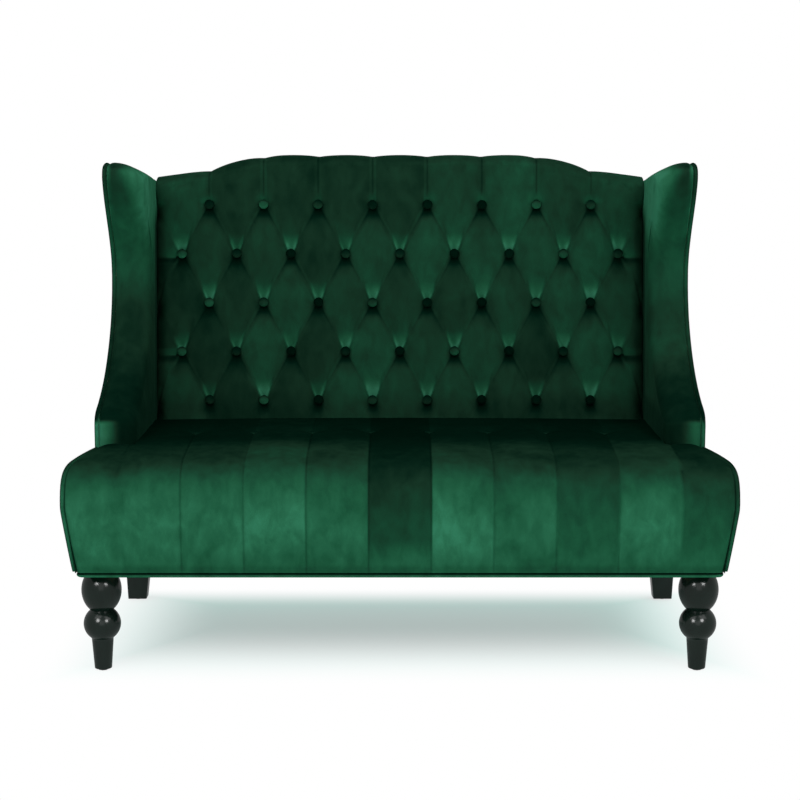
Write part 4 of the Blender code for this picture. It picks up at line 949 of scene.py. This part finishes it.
def seat_line():
    """(setback, z) up the front, over its roll and back along the crowned top, with the row
    where the T's rear edge lies."""
    low = np.array([FRONT_BOTTOM_SETBACK, SEAT_LOW])
    bulge = np.array([0.0, FRONT_BULGE_Z])
    over = np.array([FRONT_ROLL_SETBACK, seat_top(FRONT_ROLL_SETBACK)])
    climb = np.array([0.0, (bulge[1] - low[1]) / 3.0])
    roll = (over[1] - bulge[1]) * ROLL_FULLNESS
    leave = low + climb - [FRONT_BOTTOM_SETBACK / 2.0, 0.0]
    front = bezier(low, leave, bulge - climb, bulge, FRONT_STEPS)
    nose = bezier(bulge, bulge + [0.0, roll], over - [roll, ROLL_FALL], over, FRONT_STEPS)
    rear = rear_line(SEAT_TOP, PAD_REAR - BACK_PAD) - FRONT - SEAT_GAP
    near = np.linspace(FRONT_ROLL_SETBACK, SEAT_STEP, NEAR_STEPS)
    far = np.linspace(SEAT_STEP, rear, FAR_STEPS)[1:]
    setback = np.concatenate([near, far])
    line = np.concatenate([front, nose, np.stack([setback, seat_top(setback)], axis=1)])
    return line, len(front) + len(nose) + len(near) - 1


def below_bulge(z):
    """How far down the front a height lies: 0 at its bulge, 1 at its lower edge."""
    return np.clip((FRONT_BULGE_Z - z) / (FRONT_BULGE_Z - SEAT_LOW), 0.0, 1.0)


def seat_skin(x, half, spread, line, outward, facing):
    """Points of the cover at x across and along the profile line: sunk along the profile's
    normal by the elliptical ends, the fall to the sides, the seams and the button dimples."""
    past = np.clip((np.abs(x) - (half - spread)) / spread, 0.0, 1.0)
    roll = toward(FRONT_END_ROLL, SEAT_END_ROLL, facing)
    sunk = roll * (1.0 - np.sqrt(1.0 - past**2))
    sunk = sunk + SEAT_SIDE_FALL * facing * np.clip(np.abs(x) / INNER_HALF, 0.0, 1.0) ** 2
    aside = off_whole(x / CHANNEL_PITCH + 0.5) * CHANNEL_PITCH
    setback = line[None, :, 0]
    sewn = between(setback - SEAT_BUTTON_SETBACK, *SEAM_END) * eased((half - np.abs(x)) / SEAM_EDGE)
    sewn = sewn * eased((line[None, :, 1] - SEAT_LOW) / SEAM_FOOT)
    crown = CHANNEL_CROWN * (2.0 * aside / CHANNEL_PITCH - 1.0) ** 2
    sunk = sunk + sewn * (crown + SEAM_DEPTH * np.exp(-aside / SEAM_REACH))
    button = np.hypot(aside, setback - SEAT_BUTTON_SETBACK)
    inside = np.abs(x) < SEAT_BUTTONS / 2.0 * CHANNEL_PITCH
    sunk = sunk + inside * SEAT_DIMPLE * np.exp(-((button / SEAT_DIMPLE_REACH) ** DIMPLE_SOFTNESS))
    y = FRONT + setback - outward[None, :, 0] * sunk
    return joined(x, y, line[None, :, 1] - outward[None, :, 1] * sunk)


def seat_rings():
    """Loops round the seat, one for each place across it: up the front, back along the top,
    then forward under the deck and down inside the front. The end loops sink down the side."""
    line, step = seat_line()
    ahead = np.gradient(line, axis=0)
    outward = unit(np.stack([-ahead[:, 1], ahead[:, 0]], axis=1))
    facing = np.clip(outward[:, 1], 0.0, 1.0)[None]
    flare = np.clip(line[:, 0] / ARM_SETBACK, 0.0, 1.0) ** 1.5
    half = (toward(SEAT_HALF, SEAT_NEAR_HALF, flare) - FRONT_TAPER * below_bulge(line[:, 1]))[None]
    spread = toward(FRONT_END_ROLL, SEAT_END_SPREAD, facing)
    inner = INNER_HALF - FIT
    pitch = CHANNEL_PITCH / CHANNEL_STEPS
    count = math.floor(inner / pitch)
    middle = np.array([-inner, *(pitch * np.arange(-count, count + 1)), inner])[:, None]
    middle = seat_skin(middle, half, spread, line, outward, facing)
    out = np.linspace(0.0, 1.0, END_STEPS)[1:, None]
    curl = np.sin(np.pi / 2.0 * out)
    end_x = np.concatenate([toward(inner, half - spread, out), half - spread * (1.0 - curl)])
    end = seat_skin(end_x, half, spread, line, outward, facing)
    down = np.linspace(0.0, 1.0, len(line) - step)[None, 1:]
    edge = end[:, step : step + 1]
    drop = edge + (SEAT_DECK - edge[..., 2:]) * down[..., None] * np.array([0.0, 0.0, 1.0])
    end = np.concatenate([end[:, : step + 1], drop], axis=1)
    rear_y = rear_line(SEAT_DECK, PAD_REAR - BACK_PAD) - SEAT_GAP
    hollow_y = FRONT + SEAT_HOLLOW

    def inside(x, y):
        x = np.clip(x, -HOLLOW_HALF, HOLLOW_HALF)
        corners = [(y, SEAT_DECK), (hollow_y, SEAT_DECK), (hollow_y, SEAT_LOW)]
        return np.stack([joined(x, *corner) for corner in corners], axis=1)

    middle = np.concatenate([middle, inside(middle[:, 0, 0], rear_y)], axis=1)
    end = np.concatenate([end, inside(end[:, 0, 0], FRONT + SEAT_STEP)], axis=1)
    sink = np.linspace(0.0, 1.0, SIDE_STEPS)[1:, None]
    side = np.repeat(end[-1:], len(sink), axis=0)
    start = below_bulge(side[..., 2])
    side[..., 2] = toward(side[..., 2], SEAT_LOW, sink)
    lower = below_bulge(side[..., 2]) - start
    near = np.clip(1.0 - (side[..., 1] - FRONT) / TAPER_DEPTH, 0.0, 1.0)
    side[:, : len(line), 0] -= (FRONT_TAPER * lower * near)[:, : len(line)]
    end = np.concatenate([end, side])
    mirror = np.array([-1.0, 1.0, 1.0])
    edge_line = end[-1 - len(sink), : step + 1]
    return np.concatenate([end[::-1] * mirror, middle, end]), edge_line


CHANNEL_PILE = (0.70, 0.70, 0.71, 0.78, 0.60, 0.25, 0.78, 0.60, 0.39, 0.71, 0.39)
CHANNEL_LAY = (0.07, 0.07, 0.05, -0.03, -0.03, 0.0, 0.03, 0.0, -0.04, 0.0, 0.0)
FOOT_PILE = 0.66
FOOT_ALIKE = 0.9  # how much alike the channels are at the foot
# Painted shade on the seat, as the next lines give it: where the roll turns up, at the hem, further back
# on the top and on the ends; and darker low on the front.
FOOT_DARK = 0.22
SEAT_PILE_LEAST = 0.008
TURN_DARK = (0.95, 0.20)  # share lost in step with the turn up, and won back with its square
SEAM_DARK = 0.25
SEAM_LINE = 0.0012
FRONT_FOOT = (0.285, 0.225)  # heights
FRONT_HEM = (0.25, 0.232, 0.220)  # share lost, and between which heights, as in the next
FRONT_UPPER = (0.14, 0.305, 0.345)
TOP_DARK = (0.72, 0.09, 0.25)  # and between which setbacks
END_DARK = (0.5, 0.5, 0.9)  # and between which turns to the side


def seat_pile_and_painted_light(points, normals):
    """Each sewn channel's pile lies its own way on the upright front, and much the same at its
    foot. It is painted darker, a painted shade, in step with how far the roll turns up and how far
    back the top lies, at the hem and on the ends, and it is dark in the seams."""
    z = points[:, 2]
    place = np.clip(points[:, 0] / CHANNEL_PITCH, -CHANNELS_ASIDE, CHANNELS_ASIDE)
    channel = np.round(place).astype(int) + CHANNELS_ASIDE
    lay = np.array(CHANNEL_LAY)[channel]
    turned = np.clip(normals[:, 2], 0.0, 1.0)
    foot = between(z, *FRONT_FOOT)
    lit = toward(np.array(CHANNEL_PILE)[channel], FOOT_PILE, FOOT_ALIKE * foot)
    lit = lit * (1.0 - (TURN_DARK[0] + lay) * turned + TURN_DARK[1] * turned**2)
    lit = np.maximum(lit, 0.0) * (1.0 - (FOOT_DARK - lay) * foot)
    lit = faded(faded(lit, z, *FRONT_HEM), z, *FRONT_UPPER)
    seam = (0.5 - off_whole(place)) * CHANNEL_PITCH
    lit = lit * (1.0 - SEAM_DARK * np.exp(-((seam / SEAM_LINE) ** 2)))
    lit = faded(lit, points[:, 1] - FRONT, *TOP_DARK)
    return faded(lit + SEAT_PILE_LEAST, np.abs(normals[:, 0]), *END_DARK)


seat_velvet = velvet_finish("green_velvet_seat", 0.20, (1.0, 1.0, 0.5), 0.0)
seat_skin_rings, seat_edge = seat_rings()
seat_cover = loft("seat_cover", seat_skin_rings)
upholster(seat_cover, seat_pile_and_painted_light, seat_velvet, "seat_cushion")


# Seat buttons. One row of the same covered buttons, on the eight inner seams, drawn down into
# the seat by a twine through the whole row.
SEAT_BUTTON_LIFT = 0.0015


def pile_shaded_by_facing(least, gain, middle, width):
    """Pile that is brushed down, with painted shade where the cloth faces up: least there, and gain more
    where it faces down.
    """
    return lambda points, normals: least + gain * facing_down(normals, middle, width)


def seat_button_places(flat, height):
    """Puts the buttons on the seams, domes up, in the seat's dimples."""
    columns = CHANNEL_PITCH * (np.arange(SEAT_BUTTONS) - (SEAT_BUTTONS - 1) / 2.0)
    fall = SEAT_SIDE_FALL * (columns / INNER_HALF) ** 2
    level = seat_top(SEAT_BUTTON_SETBACK) - fall - SEAT_DIMPLE - SEAM_DEPTH - CHANNEL_CROWN
    x = columns[:, None, None] + flat[None, ..., 0]
    y = FRONT + SEAT_BUTTON_SETBACK + flat[None, ..., 1]
    z = (level + SEAT_BUTTON_LIFT + BUTTON_THICK / 2.0)[:, None, None] + height[None]
    return joined(x, y, z)


seat_buttons = button_row("seat_buttons", seat_button_places)
upholster(
    seat_buttons, pile_shaded_by_facing(least=0.03, gain=0.30, middle=0.3, width=0.3),
    seat_velvet, "seat_button_row",
)


# Welts. Velvet cut on the bias and sewn round a cord, then stapled in the joint between two
# covers: along each wing and arm, round each seat end, along the front's foot and the crest.
WELT_GAP = 0.00005
CREST_WELT_LIFT = 0.0005
WELT_INSET = 0.002
WELT_CORNER = 0.008  # cut off the foot's front corners
WELT_LIFT = 0.0015  # of the seat welts' lower ends
WELT_SIDES = 14
WELT_SPACING = 0.003
WELT_MEAN = 5  # points in the running mean
# Painted shade: a welt is darker where it turns outwards, and the base welt where it faces up.
WELT_DARK = (0.85, 0.35, 0.80)  # share lost, and between which turns outwards
BASE_WELT_PILE = 0.62
BASE_WELT_UPRIGHT = (0.40, 0.10)
WELT_ASIDE = (0.31, 0.27, 0.91)  # a direction that no welt runs in
CREST_STEPS = 240


def tube_rings(path, radius):
    """Rings round a path: a circle in the plane square to it, carried without twisting."""
    ahead = unit(np.gradient(path, axis=0))
    side = unit(np.cross(ahead, WELT_ASIDE))
    over = np.cross(side, ahead)
    turn = full_turn(WELT_SIDES)[None, :, None]
    return path[:, None] + radius * (np.cos(turn) * side[:, None] + np.sin(turn) * over[:, None])


def smoothed(path):
    """The path at even spacing, its corners rounded by a running mean."""
    path = np.asarray(path, float)
    length = np.concatenate([[0.0], np.cumsum(np.linalg.norm(np.diff(path, axis=0), axis=1))])
    even = np.linspace(0.0, length[-1], round(length[-1] / WELT_SPACING))
    past = WELT_MEAN // 2
    share = np.full(WELT_MEAN, 1.0 / WELT_MEAN)
    axes = [np.pad(np.interp(even, length, axis), past, "reflect", reflect_type="odd") for axis in path.T]
    return np.stack([np.convolve(axis, share, "valid") for axis in axes], axis=1)


def welt(name, path, node, finish, pile_and_light_of):
    """A round welt along path, with its pile, its material and its place in the frame."""
    piece = loft(name, tube_rings(smoothed(path), WELT_RADIUS))
    lay_pile_and_painted_light(piece, pile_and_light_of)
    dress(piece, finish, node)


def edge_pile_and_painted_light(cover_nap, sign):
    """Pile of a welt that looks like the cover beside it, and has painted shade where it turns outwards.
    """

    def pile_and_light_of(points, normals):
        shade = cover_nap(points, normals * np.array([0.0, 1.0, 1.0]))
        return faded(shade, sign * normals[:, 0], *WELT_DARK)

    return pile_and_light_of


for side, sign in SIDES:
    outline = side_outline(WELT_RADIUS, BASE + FIT + WELT_RADIUS, BACK_TIMBER)
    path = np.insert(outline, 0, sign * (BODY_HALF - WELT_RADIUS), axis=1)
    welt(f"{side}_wing_piping", path, f"{side}_wing_welt", velvet, edge_pile_and_painted_light(side_pile_and_painted_light(side), sign))
    path = seat_edge * np.array([sign, 1.0, 1.0])
    path[:, 0] += sign * (WELT_RADIUS + WELT_GAP)
    path[0, 2] += WELT_LIFT
    welt(f"{side}_seat_piping", path, f"{side}_seat_welt", seat_velvet, edge_pile_and_painted_light(seat_pile_and_painted_light, sign))

foot_half = seat_edge[0, 0] - WELT_INSET
foot_y = seat_edge[0, 1]
foot_z = SEAT_LOW - WELT_RADIUS - FIT
lip_y = FRONT + FRONT_BOTTOM_SETBACK + WELT_INSET
return_y = FRONT + SEAT_STEP - WELT_RADIUS
foot_end = np.array([
    (SEAT_NEAR_HALF - WELT_INSET, return_y, foot_z), (foot_half, foot_y, foot_z),
    (foot_half - WELT_CORNER, lip_y, foot_z),
])
foot_path = np.concatenate([foot_end * np.array([-1.0, 1.0, 1.0]), foot_end[::-1]])
# The base welt is painted dark where it faces up: painted shade in the groove above it.
welt(
    "base_piping", foot_path, "base_welt", velvet,
    lambda points, normals: BASE_WELT_PILE * between(normals[:, 2], *BASE_WELT_UPRIGHT),
)

crest_x = np.linspace(-INNER_HALF + WELT_RADIUS, INNER_HALF - WELT_RADIUS, CREST_STEPS)
crest_up = crest_line(crest_x) - crest_dip(crest_x) + CREST_WELT_LIFT
crest_path = raked(crest_x, crest_up, BACK_TIMBER + WELT_RADIUS - FIT)
welt(
    "crest_piping", crest_path, "crest_welt", velvet,
    pile_shaded_by_facing(least=0.05, gain=0.15, middle=0.1, width=0.3),
)


# Outside covers. Velvet over card and thin wadding, tacked along the welts and stapled under
# the frame: one panel on each side, and one across the back.
PANEL_THICK = 0.004
PANEL_EASE = 0.0005
PANEL_CROWN = 0.0035
PANEL_REAR = BACK_TIMBER + FIT
BACK_PANEL_LOW = 0.0045
PANEL_ROUND = 0.006  # width of the rounded edge
PANEL_EDGE = 0.25  # share of the thickness at the edge
PANEL_FULL = 0.2  # a panel narrower than this is crowned less
PANEL_STEPS = 44
BACK_PANEL_STEPS = (301, 90)


def panel_thickness(inward):
    """Thickness that far inward of a panel's edge, which is rounded by a quarter circle."""
    edge = np.clip(inward / PANEL_ROUND, 0.0, 1.0)
    return PANEL_THICK * toward(PANEL_EDGE, 1.0, np.sqrt(1.0 - (1.0 - edge) ** 2))


def side_panel_rings(sign):
    """Loops over the panel, one for each place along the side outline: across its outer face,
    rounded at the edge and slightly crowned, to the rear, and back along its inner face."""
    outline = side_outline(2.0 * WELT_RADIUS + PANEL_EASE, BASE + FIT, PANEL_REAR + PANEL_THICK)
    share = np.linspace(0.0, 1.0, len(outline)) ** 1.2
    height = toward(BASE + FIT, outline[-1, 1], share)
    rear = np.stack([rear_line(height, PANEL_REAR + PANEL_THICK), height], axis=1)
    to_rear = np.linspace(0.0, 1.0, PANEL_STEPS) ** 1.5
    face = toward(outline[:, None], rear[:, None], to_rear[:, None])
    width = np.linalg.norm(rear - outline, axis=1)[:, None]
    crown = PANEL_CROWN * np.sin(np.pi * to_rear) ** 0.7 * np.clip(width / PANEL_FULL, 0.0, 1.0)
    x = BODY_HALF - PANEL_THICK + panel_thickness(to_rear * width) + crown
    face = np.concatenate([x[..., None], face], axis=2)
    inner = np.stack([
        np.insert(rear, 0, BODY_HALF - PANEL_THICK, axis=1),
        np.insert(outline, 0, BODY_HALF - PANEL_THICK, axis=1),
    ], axis=1)
    return np.concatenate([face, inner], axis=1) * np.array([sign, 1.0, 1.0])


def back_panel_rings():
    """Loops over the outside back, one for each place across it: up its crowned outer face to
    the crest line or the ear's top, and down its inner face."""
    half = BODY_HALF - PANEL_THICK - FIT
    x = np.linspace(-half, half, BACK_PANEL_STEPS[0])[:, None]
    lean = np.clip((INNER_HALF + EAR_ROLL - np.abs(x)) / EAR_ROLL, 0.0, 1.0)
    ear = EAR_RISE - EAR_FALL - EAR_REAR_ROLL * lean**2 - WELT_RADIUS
    crest = crest_line(x) - crest_dip(x) + CREST_WELT_LIFT - WELT_RADIUS - WELT_GAP
    top = np.where(np.abs(x) > INNER_HALF, ear / math.cos(BACK_RAKE), crest)
    share = np.linspace(0.0, 1.0, BACK_PANEL_STEPS[1])[None]
    up = toward(BACK_PANEL_LOW, top, share)
    inward = np.minimum(np.minimum(up - BACK_PANEL_LOW, top - up), half - np.abs(x))
    crown = np.sin(np.pi * share) ** 0.6 * np.sqrt(np.clip(1.0 - (x / half) ** 2, 0.0, 1.0))
    rearward = PANEL_REAR + panel_thickness(inward) + PANEL_CROWN * crown
    inner = [raked(x, top, PANEL_REAR), raked(x, BACK_PANEL_LOW, PANEL_REAR)]
    return np.concatenate([raked(x, up, rearward), *inner], axis=1)


outside_pile_and_painted_light = pile_shaded_by_facing(least=0.0, gain=0.46, middle=0.3, width=0.2)
for side, sign in SIDES:
    side_panel = loft(f"{side}_outside_cover", side_panel_rings(sign))
    upholster(side_panel, outside_pile_and_painted_light, velvet, f"{side}_outside_panel")
back_panel = loft("outside_back_cover", back_panel_rings())
upholster(back_panel, outside_pile_and_painted_light, velvet, "outside_back_panel")


# Dust cover. Black cambric stapled under the frame, cut away at the four legs. It hangs a
# little slack between its staples.
COVER_HALF = 0.5976
COVER_SETBACK = 0.052
COVER_REAR_GAP = 0.012
COVER_FRONT = FRONT + COVER_SETBACK
COVER_REAR = rear_line(BASE, BACK_TIMBER) - COVER_REAR_GAP
COVER_NOTCH = 0.085
COVER_SAG = 0.006
COVER_END_SAG = 0.55  # share of it at the front and rear edges
COVER_THICK = 0.0008
COVER_STEPS = (91, 31)  # between the notches, across and along
NOTCH_STEPS = 9


def cover_places(start, end, count):
    """Places from start to end, with a row on the edge of each notch."""
    first, last = start + COVER_NOTCH, end - COVER_NOTCH
    return np.concatenate([
        np.linspace(start, first, NOTCH_STEPS)[:-1], np.linspace(first, last, count),
        np.linspace(last, end, NOTCH_STEPS)[1:],
    ])


def in_notch(places):
    """Whether each step between places lies beside a notch at either end."""
    middle = (places[:-1] + places[1:]) / 2.0
    return (middle < places[0] + COVER_NOTCH) | (middle > places[-1] - COVER_NOTCH)


def dust_cover_sheet():
    """A level sheet with square corners cut out, sagging by a product of two sines."""
    x = cover_places(-COVER_HALF, COVER_HALF, COVER_STEPS[0])
    y = cover_places(COVER_FRONT, COVER_REAR, COVER_STEPS[1])
    across, along = np.meshgrid(x, y)
    sag = np.sin(np.pi * (along - COVER_FRONT) / (COVER_REAR - COVER_FRONT))
    sag = toward(COVER_END_SAG, 1.0, sag) * np.sin(np.pi * (across + COVER_HALF) / (2.0 * COVER_HALF))
    points = joined(across, along, BASE - FIT - COVER_THICK - COVER_SAG * sag)
    index = np.arange(across.size).reshape(across.shape)
    cells = np.stack([index[1:, :-1], index[1:, 1:], index[:-1, 1:], index[:-1, :-1]], axis=-1)
    used, faces = np.unique(cells[~(in_notch(x)[None] & in_notch(y)[:, None])], return_inverse=True)
    mesh = bpy.data.meshes.new("dust_cover_cloth")
    mesh.from_pydata(points.reshape(-1, 3)[used].tolist(), [], faces.reshape(-1, 4).tolist())
    mesh.shade_smooth()
    return mesh


cambric = Finish("black_cambric", Roughness=0.92)
cambric.shade(cambric.noise(240.0, 3.0), [(0.3, (0.006, 0.006, 0.007)), (0.7, (0.013, 0.013, 0.014))])
cambric.bump(cambric.noise(900.0, 2.0), 0.0004)
dust_cover = bpy.data.objects.new("dust_cover_cloth", dust_cover_sheet())
scene.collection.objects.link(dust_cover)
cloth = dust_cover.modifiers.new("cloth", "SOLIDIFY")
cloth.thickness = COVER_THICK
cloth.offset = 1.0
dress(dust_cover, cambric, "dust_cover")


# Front legs. Hardwood turned as two balls over a taper, lacquered black, and screwed up into
# the corner blocks.
LEG_X = 0.589
LEG_SETBACK = 0.078
LEG_GAP = 0.0005
LEG_TOP = BASE - LEG_GAP
LEG_FOOT = 0.0034
BALL_RADIUS = 0.0395
BALL_HEIGHT = 0.0793
LOWER_BALL_RADIUS = 0.0367
LOWER_BALL_HEIGHT = 0.0575
NECK_RADIUS = 0.0228
LEG_TOP_RADIUS = 0.0230
TAPER_TOP_RADIUS = 0.0216
FOOT_RADIUS = 0.0171
FOOT_EASE = 0.0015
BALL_STEPS = 40
TAPER_STEPS = 12
FOOT_STEPS = 6
LEG_SIDES = 72
LEG_CREASE = 50.0


def ball_line(low, high, radius, low_radius, high_radius):
    """(radius, z) down a bead between two necks: a circle's arc, stretched to its height."""
    top = math.acos(high_radius / radius)
    bottom = math.acos(low_radius / radius)
    angle = np.linspace(top, -bottom, BALL_STEPS)
    reach = max(math.sin(top), math.sin(bottom))
    z = (low + high) / 2.0 + (high - low) / 2.0 * np.sin(angle) / reach
    return np.stack([radius * np.cos(angle), z], axis=1)


def front_leg_rings(x, y):
    """The leg's profile, top to foot, carried round its axis."""
    neck = LEG_TOP - BALL_HEIGHT
    shoulder = neck - LOWER_BALL_HEIGHT
    ease = quarter_turn(FOOT_STEPS)
    foot = np.stack([
        FOOT_RADIUS - FOOT_EASE * (1.0 - np.cos(ease)), LEG_FOOT + FOOT_EASE * (1.0 - np.sin(ease)),
    ], axis=1)
    taper = np.linspace((TAPER_TOP_RADIUS, shoulder), foot[0], TAPER_STEPS)[1:-1]
    profile = np.concatenate([
        ball_line(neck, LEG_TOP, BALL_RADIUS, NECK_RADIUS, LEG_TOP_RADIUS),
        ball_line(shoulder, neck, LOWER_BALL_RADIUS, TAPER_TOP_RADIUS, NECK_RADIUS)[1:],
        taper, foot,
    ])
    turn = full_turn(LEG_SIDES)[None]
    radius, z = profile[:, :1], profile[:, 1:]
    return joined(x + radius * np.cos(turn), y + radius * np.sin(turn), z)


lacquer = Finish("black_lacquer", Coat_Weight=0.36, Coat_Roughness=0.18, Specular_IOR_Level=0.0)
lacquer_haze = lacquer.noise(55.0, 4.0, (1.0, 1.0, 0.4))
lacquer.shade(lacquer_haze, [(0.3, (0.0030, 0.0078, 0.0056)), (0.75, (0.0058, 0.0120, 0.0092))])
lacquer.rough(lacquer_haze, 0.26, 0.36)
lacquer.bump(lacquer.noise(320.0, 2.0, (1.0, 1.0, 0.12)), 0.0002, 0.25)
for side, sign in SIDES:
    leg_rings = front_leg_rings(sign * LEG_X, FRONT + LEG_SETBACK)
    front_leg = loft(f"front_{side}_turned_leg", leg_rings, crease=LEG_CREASE)
    dress(front_leg, lacquer, f"front_{side}_leg")


# Rear legs. Square tapered legs of the same lacquered hardwood, splayed back, with eased
# arrises, screwed up into the rear rail.
REAR_TOP = (0.070, 0.050)  # across and along
REAR_FOOT = (0.0415, 0.040)
REAR_SPLAY = 0.058
REAR_EASE = 0.004
REAR_STEPS = 24
REAR_CORNER_STEPS = 7


def rear_leg_rings(sign):
    """Rounded rectangles from the top to the foot, their outer face upright."""
    t = np.linspace(0.0, 1.0, REAR_STEPS)[:, None]
    width = toward(REAR_TOP[0], REAR_FOOT[0], t)
    depth = toward(REAR_TOP[1], REAR_FOOT[1], t)
    top_y = rear_line(BASE, BACK_TIMBER) - REAR_TOP[1]
    low_y = top_y + (REAR_SPLAY + (REAR_TOP[1] - REAR_FOOT[1]) / 2.0) * t
    z = toward(LEG_TOP, LEG_FOOT, t)
    quarter = quarter_turn(REAR_CORNER_STEPS)
    turn = np.concatenate([quarter + corner * np.pi / 2.0 for corner in range(4)])
    corner_x = np.repeat([1.0, 0.0, 0.0, 1.0], REAR_CORNER_STEPS)[None]
    corner_y = np.repeat([1.0, 1.0, 0.0, 0.0], REAR_CORNER_STEPS)[None]
    x = REAR_EASE + (width - 2.0 * REAR_EASE) * corner_x + REAR_EASE * np.cos(turn)
    y = low_y + REAR_EASE + (depth - 2.0 * REAR_EASE) * corner_y + REAR_EASE * np.sin(turn)
    return joined(sign * (BODY_HALF - width + x), y, z)


for side, sign in SIDES:
    rear_leg = loft(f"rear_{side}_tapered_leg", rear_leg_rings(sign), crease=LEG_CREASE)
    dress(rear_leg, lacquer, f"rear_{side}_leg")


# Leg bolts and glides. Zinc hanger bolts hold the legs, and a nylon glide is nailed under
# each foot. Their solids stay.
LEGS = [f"{end}_{side}" for end in ("front", "rear") for side in ("left", "right")]
zinc = Finish("zinc_plate", Roughness=0.4, Metallic=1.0)
zinc.shade(zinc.noise(90.0, 3.0), [(0.3, (0.52, 0.52, 0.50)), (0.7, (0.68, 0.68, 0.66))])
finish_nodes([f"{leg}_leg_bolt" for leg in LEGS], zinc)
nylon = Finish("black_nylon", Roughness=0.5)
nylon.shade(nylon.noise(200.0, 2.0), [(0.3, (0.03, 0.03, 0.03)), (0.7, (0.05, 0.05, 0.05))])
finish_nodes([f"{leg}_glide" for leg in LEGS], nylon)


# Studio. A pale floor that runs into a white ground, two broad soft lamps overhead, a low fill
# in front, and two small boxes that only the lacquer mirrors.
FLOOR_HALF = 14.0
# A green-blue floor colour, seen only where the floor is not lifted to white: painted green bounce light
# in the shadow under the loveseat.
FLOOR_SHADOW_TINT = (0.22, 0.90, 0.76, 1.0)
# The floor glows white where it is seen: a share of it under the loveseat, more further out, so the glow
# paints light over the floor's shade behind and beside the loveseat.
FLOOR_LIFT = 0.41  # white share under the loveseat
# axis, where the white share starts to grow, and where it is full
FLOOR_FADES = ((0, 0.44, 0.74), (0, -0.38, -0.72), (1, 0.19, 0.36), (1, 0.05, -0.39))
SOFT_LAMPS = (  # name, place, size, power, and whether it lights or is only mirrored
    ("left_softbox", (-1.7, -2.2, 3.1), 2.2, 46.0, True),
    ("right_softbox", (1.9, -2.0, 3.0), 2.2, 50.0, True),
    ("front_fill", (0.0, -5.2, 1.6), 2.6, 30.0, True),
    ("left_glint", (-1.7, -3.1, 1.95), 1.05, 120.0, False),
    ("right_glint", (1.7, -3.1, 1.95), 1.05, 120.0, False),
)
LAMP_AIM = (0.0, 0.0, 0.5)
ROOM_LIGHT = 0.27
UNSEEN_SHARE = 0.5  # of the white that is seen, for rays that only light
WHITE = (1.0, 1.0, 1.0, 1.0)


def greatest(tree, sources, least):
    """The greatest of several outputs, or least."""
    most = least
    for source in sources:
        most = add_node(tree, "Math", {0: source, 1: most}, operation="MAXIMUM").outputs["Value"]
    return most


def seen_or_mirrored(tree):
    """1 for camera, glossy and transmission rays, and UNSEEN_SHARE for those that only light."""
    path = add_node(tree, "LightPath", {})
    rays = ("Is Camera Ray", "Is Glossy Ray", "Is Transmission Ray")
    return greatest(tree, [path.outputs[ray] for ray in rays], UNSEEN_SHARE)


def pale_floor():
    """A broad level sheet that keeps the shadow under the loveseat and is seen as white further
    out: along each axis the white share grows smoothly between two places."""
    corners = FLOOR_HALF * np.array([(-1, -1, 0), (1, -1, 0), (1, 1, 0), (-1, 1, 0)], float)
    mesh = bpy.data.meshes.new("floor")
    mesh.from_pydata(corners.tolist(), [], [(0, 1, 2, 3)])
    floor = bpy.data.objects.new("floor", mesh)
    scene.collection.objects.link(floor)
    paint = bpy.data.materials.new("pale_floor")
    paint.use_nodes = True
    tree = paint.node_tree
    tree.nodes.clear()
    place = add_node(tree, "TexCoord", {}).outputs["Object"]
    axes = add_node(tree, "SeparateXYZ", {0: place})
    fades = []
    for axis, start, end in FLOOR_FADES:
        inputs = {"From Min": start, "From Max": end, "To Min": FLOOR_LIFT, "To Max": 1.0}
        inputs["Value"] = axes.outputs[axis]
        fade = add_node(tree, "MapRange", inputs, interpolation_type="SMOOTHSTEP")
        fades.append(fade.outputs["Result"])
    inputs = {0: seen_or_mirrored(tree), 1: greatest(tree, fades, 0.0)}
    lift = add_node(tree, "Math", inputs, operation="MULTIPLY")
    matt = add_node(tree, "BsdfDiffuse", {"Color": FLOOR_SHADOW_TINT})
    glow = add_node(tree, "Emission", {})
    inputs = {"Fac": lift.outputs["Value"], 1: matt.outputs["BSDF"], 2: glow.outputs["Emission"]}
    lifted = add_node(tree, "MixShader", inputs)
    add_node(tree, "OutputMaterial", {"Surface": lifted.outputs["Shader"]})
    mesh.materials.append(paint)


def white_room():
    """A world that is seen as white, and lights with a mix of that and a weaker white."""
    world = bpy.data.worlds.new("room")
    world.use_nodes = True
    scene.world = world
    tree = world.node_tree
    tree.nodes.clear()
    light, white = [
        add_node(tree, "Background", {"Color": WHITE, "Strength": strength}).outputs["Background"]
        for strength in (ROOM_LIGHT, 1.0)
    ]
    chosen = add_node(tree, "MixShader", {"Fac": seen_or_mirrored(tree), 1: light, 2: white})
    add_node(tree, "OutputWorld", {"Surface": chosen.outputs["Shader"]})


def soft_lamp(name, place, size, power, lights):
    """A square softbox aimed at the middle of the loveseat, which lights it or is only mirrored."""
    data = bpy.data.lights.new(name, "AREA")
    data.size = size
    data.energy = power
    lamp = bpy.data.objects.new(name, data)
    lamp.visible_diffuse = lights
    lamp.location = place
    aim = np.array(LAMP_AIM) - np.array(place)
    level = math.hypot(aim[0], aim[1])
    lamp.rotation_euler = (math.atan2(level, -aim[2]), 0.0, math.atan2(-aim[0], aim[1]))
    scene.collection.objects.link(lamp)


pale_floor()
white_room()
for lamp in SOFT_LAMPS:
    soft_lamp(*lamp)
scene.view_settings.view_transform = "Standard"
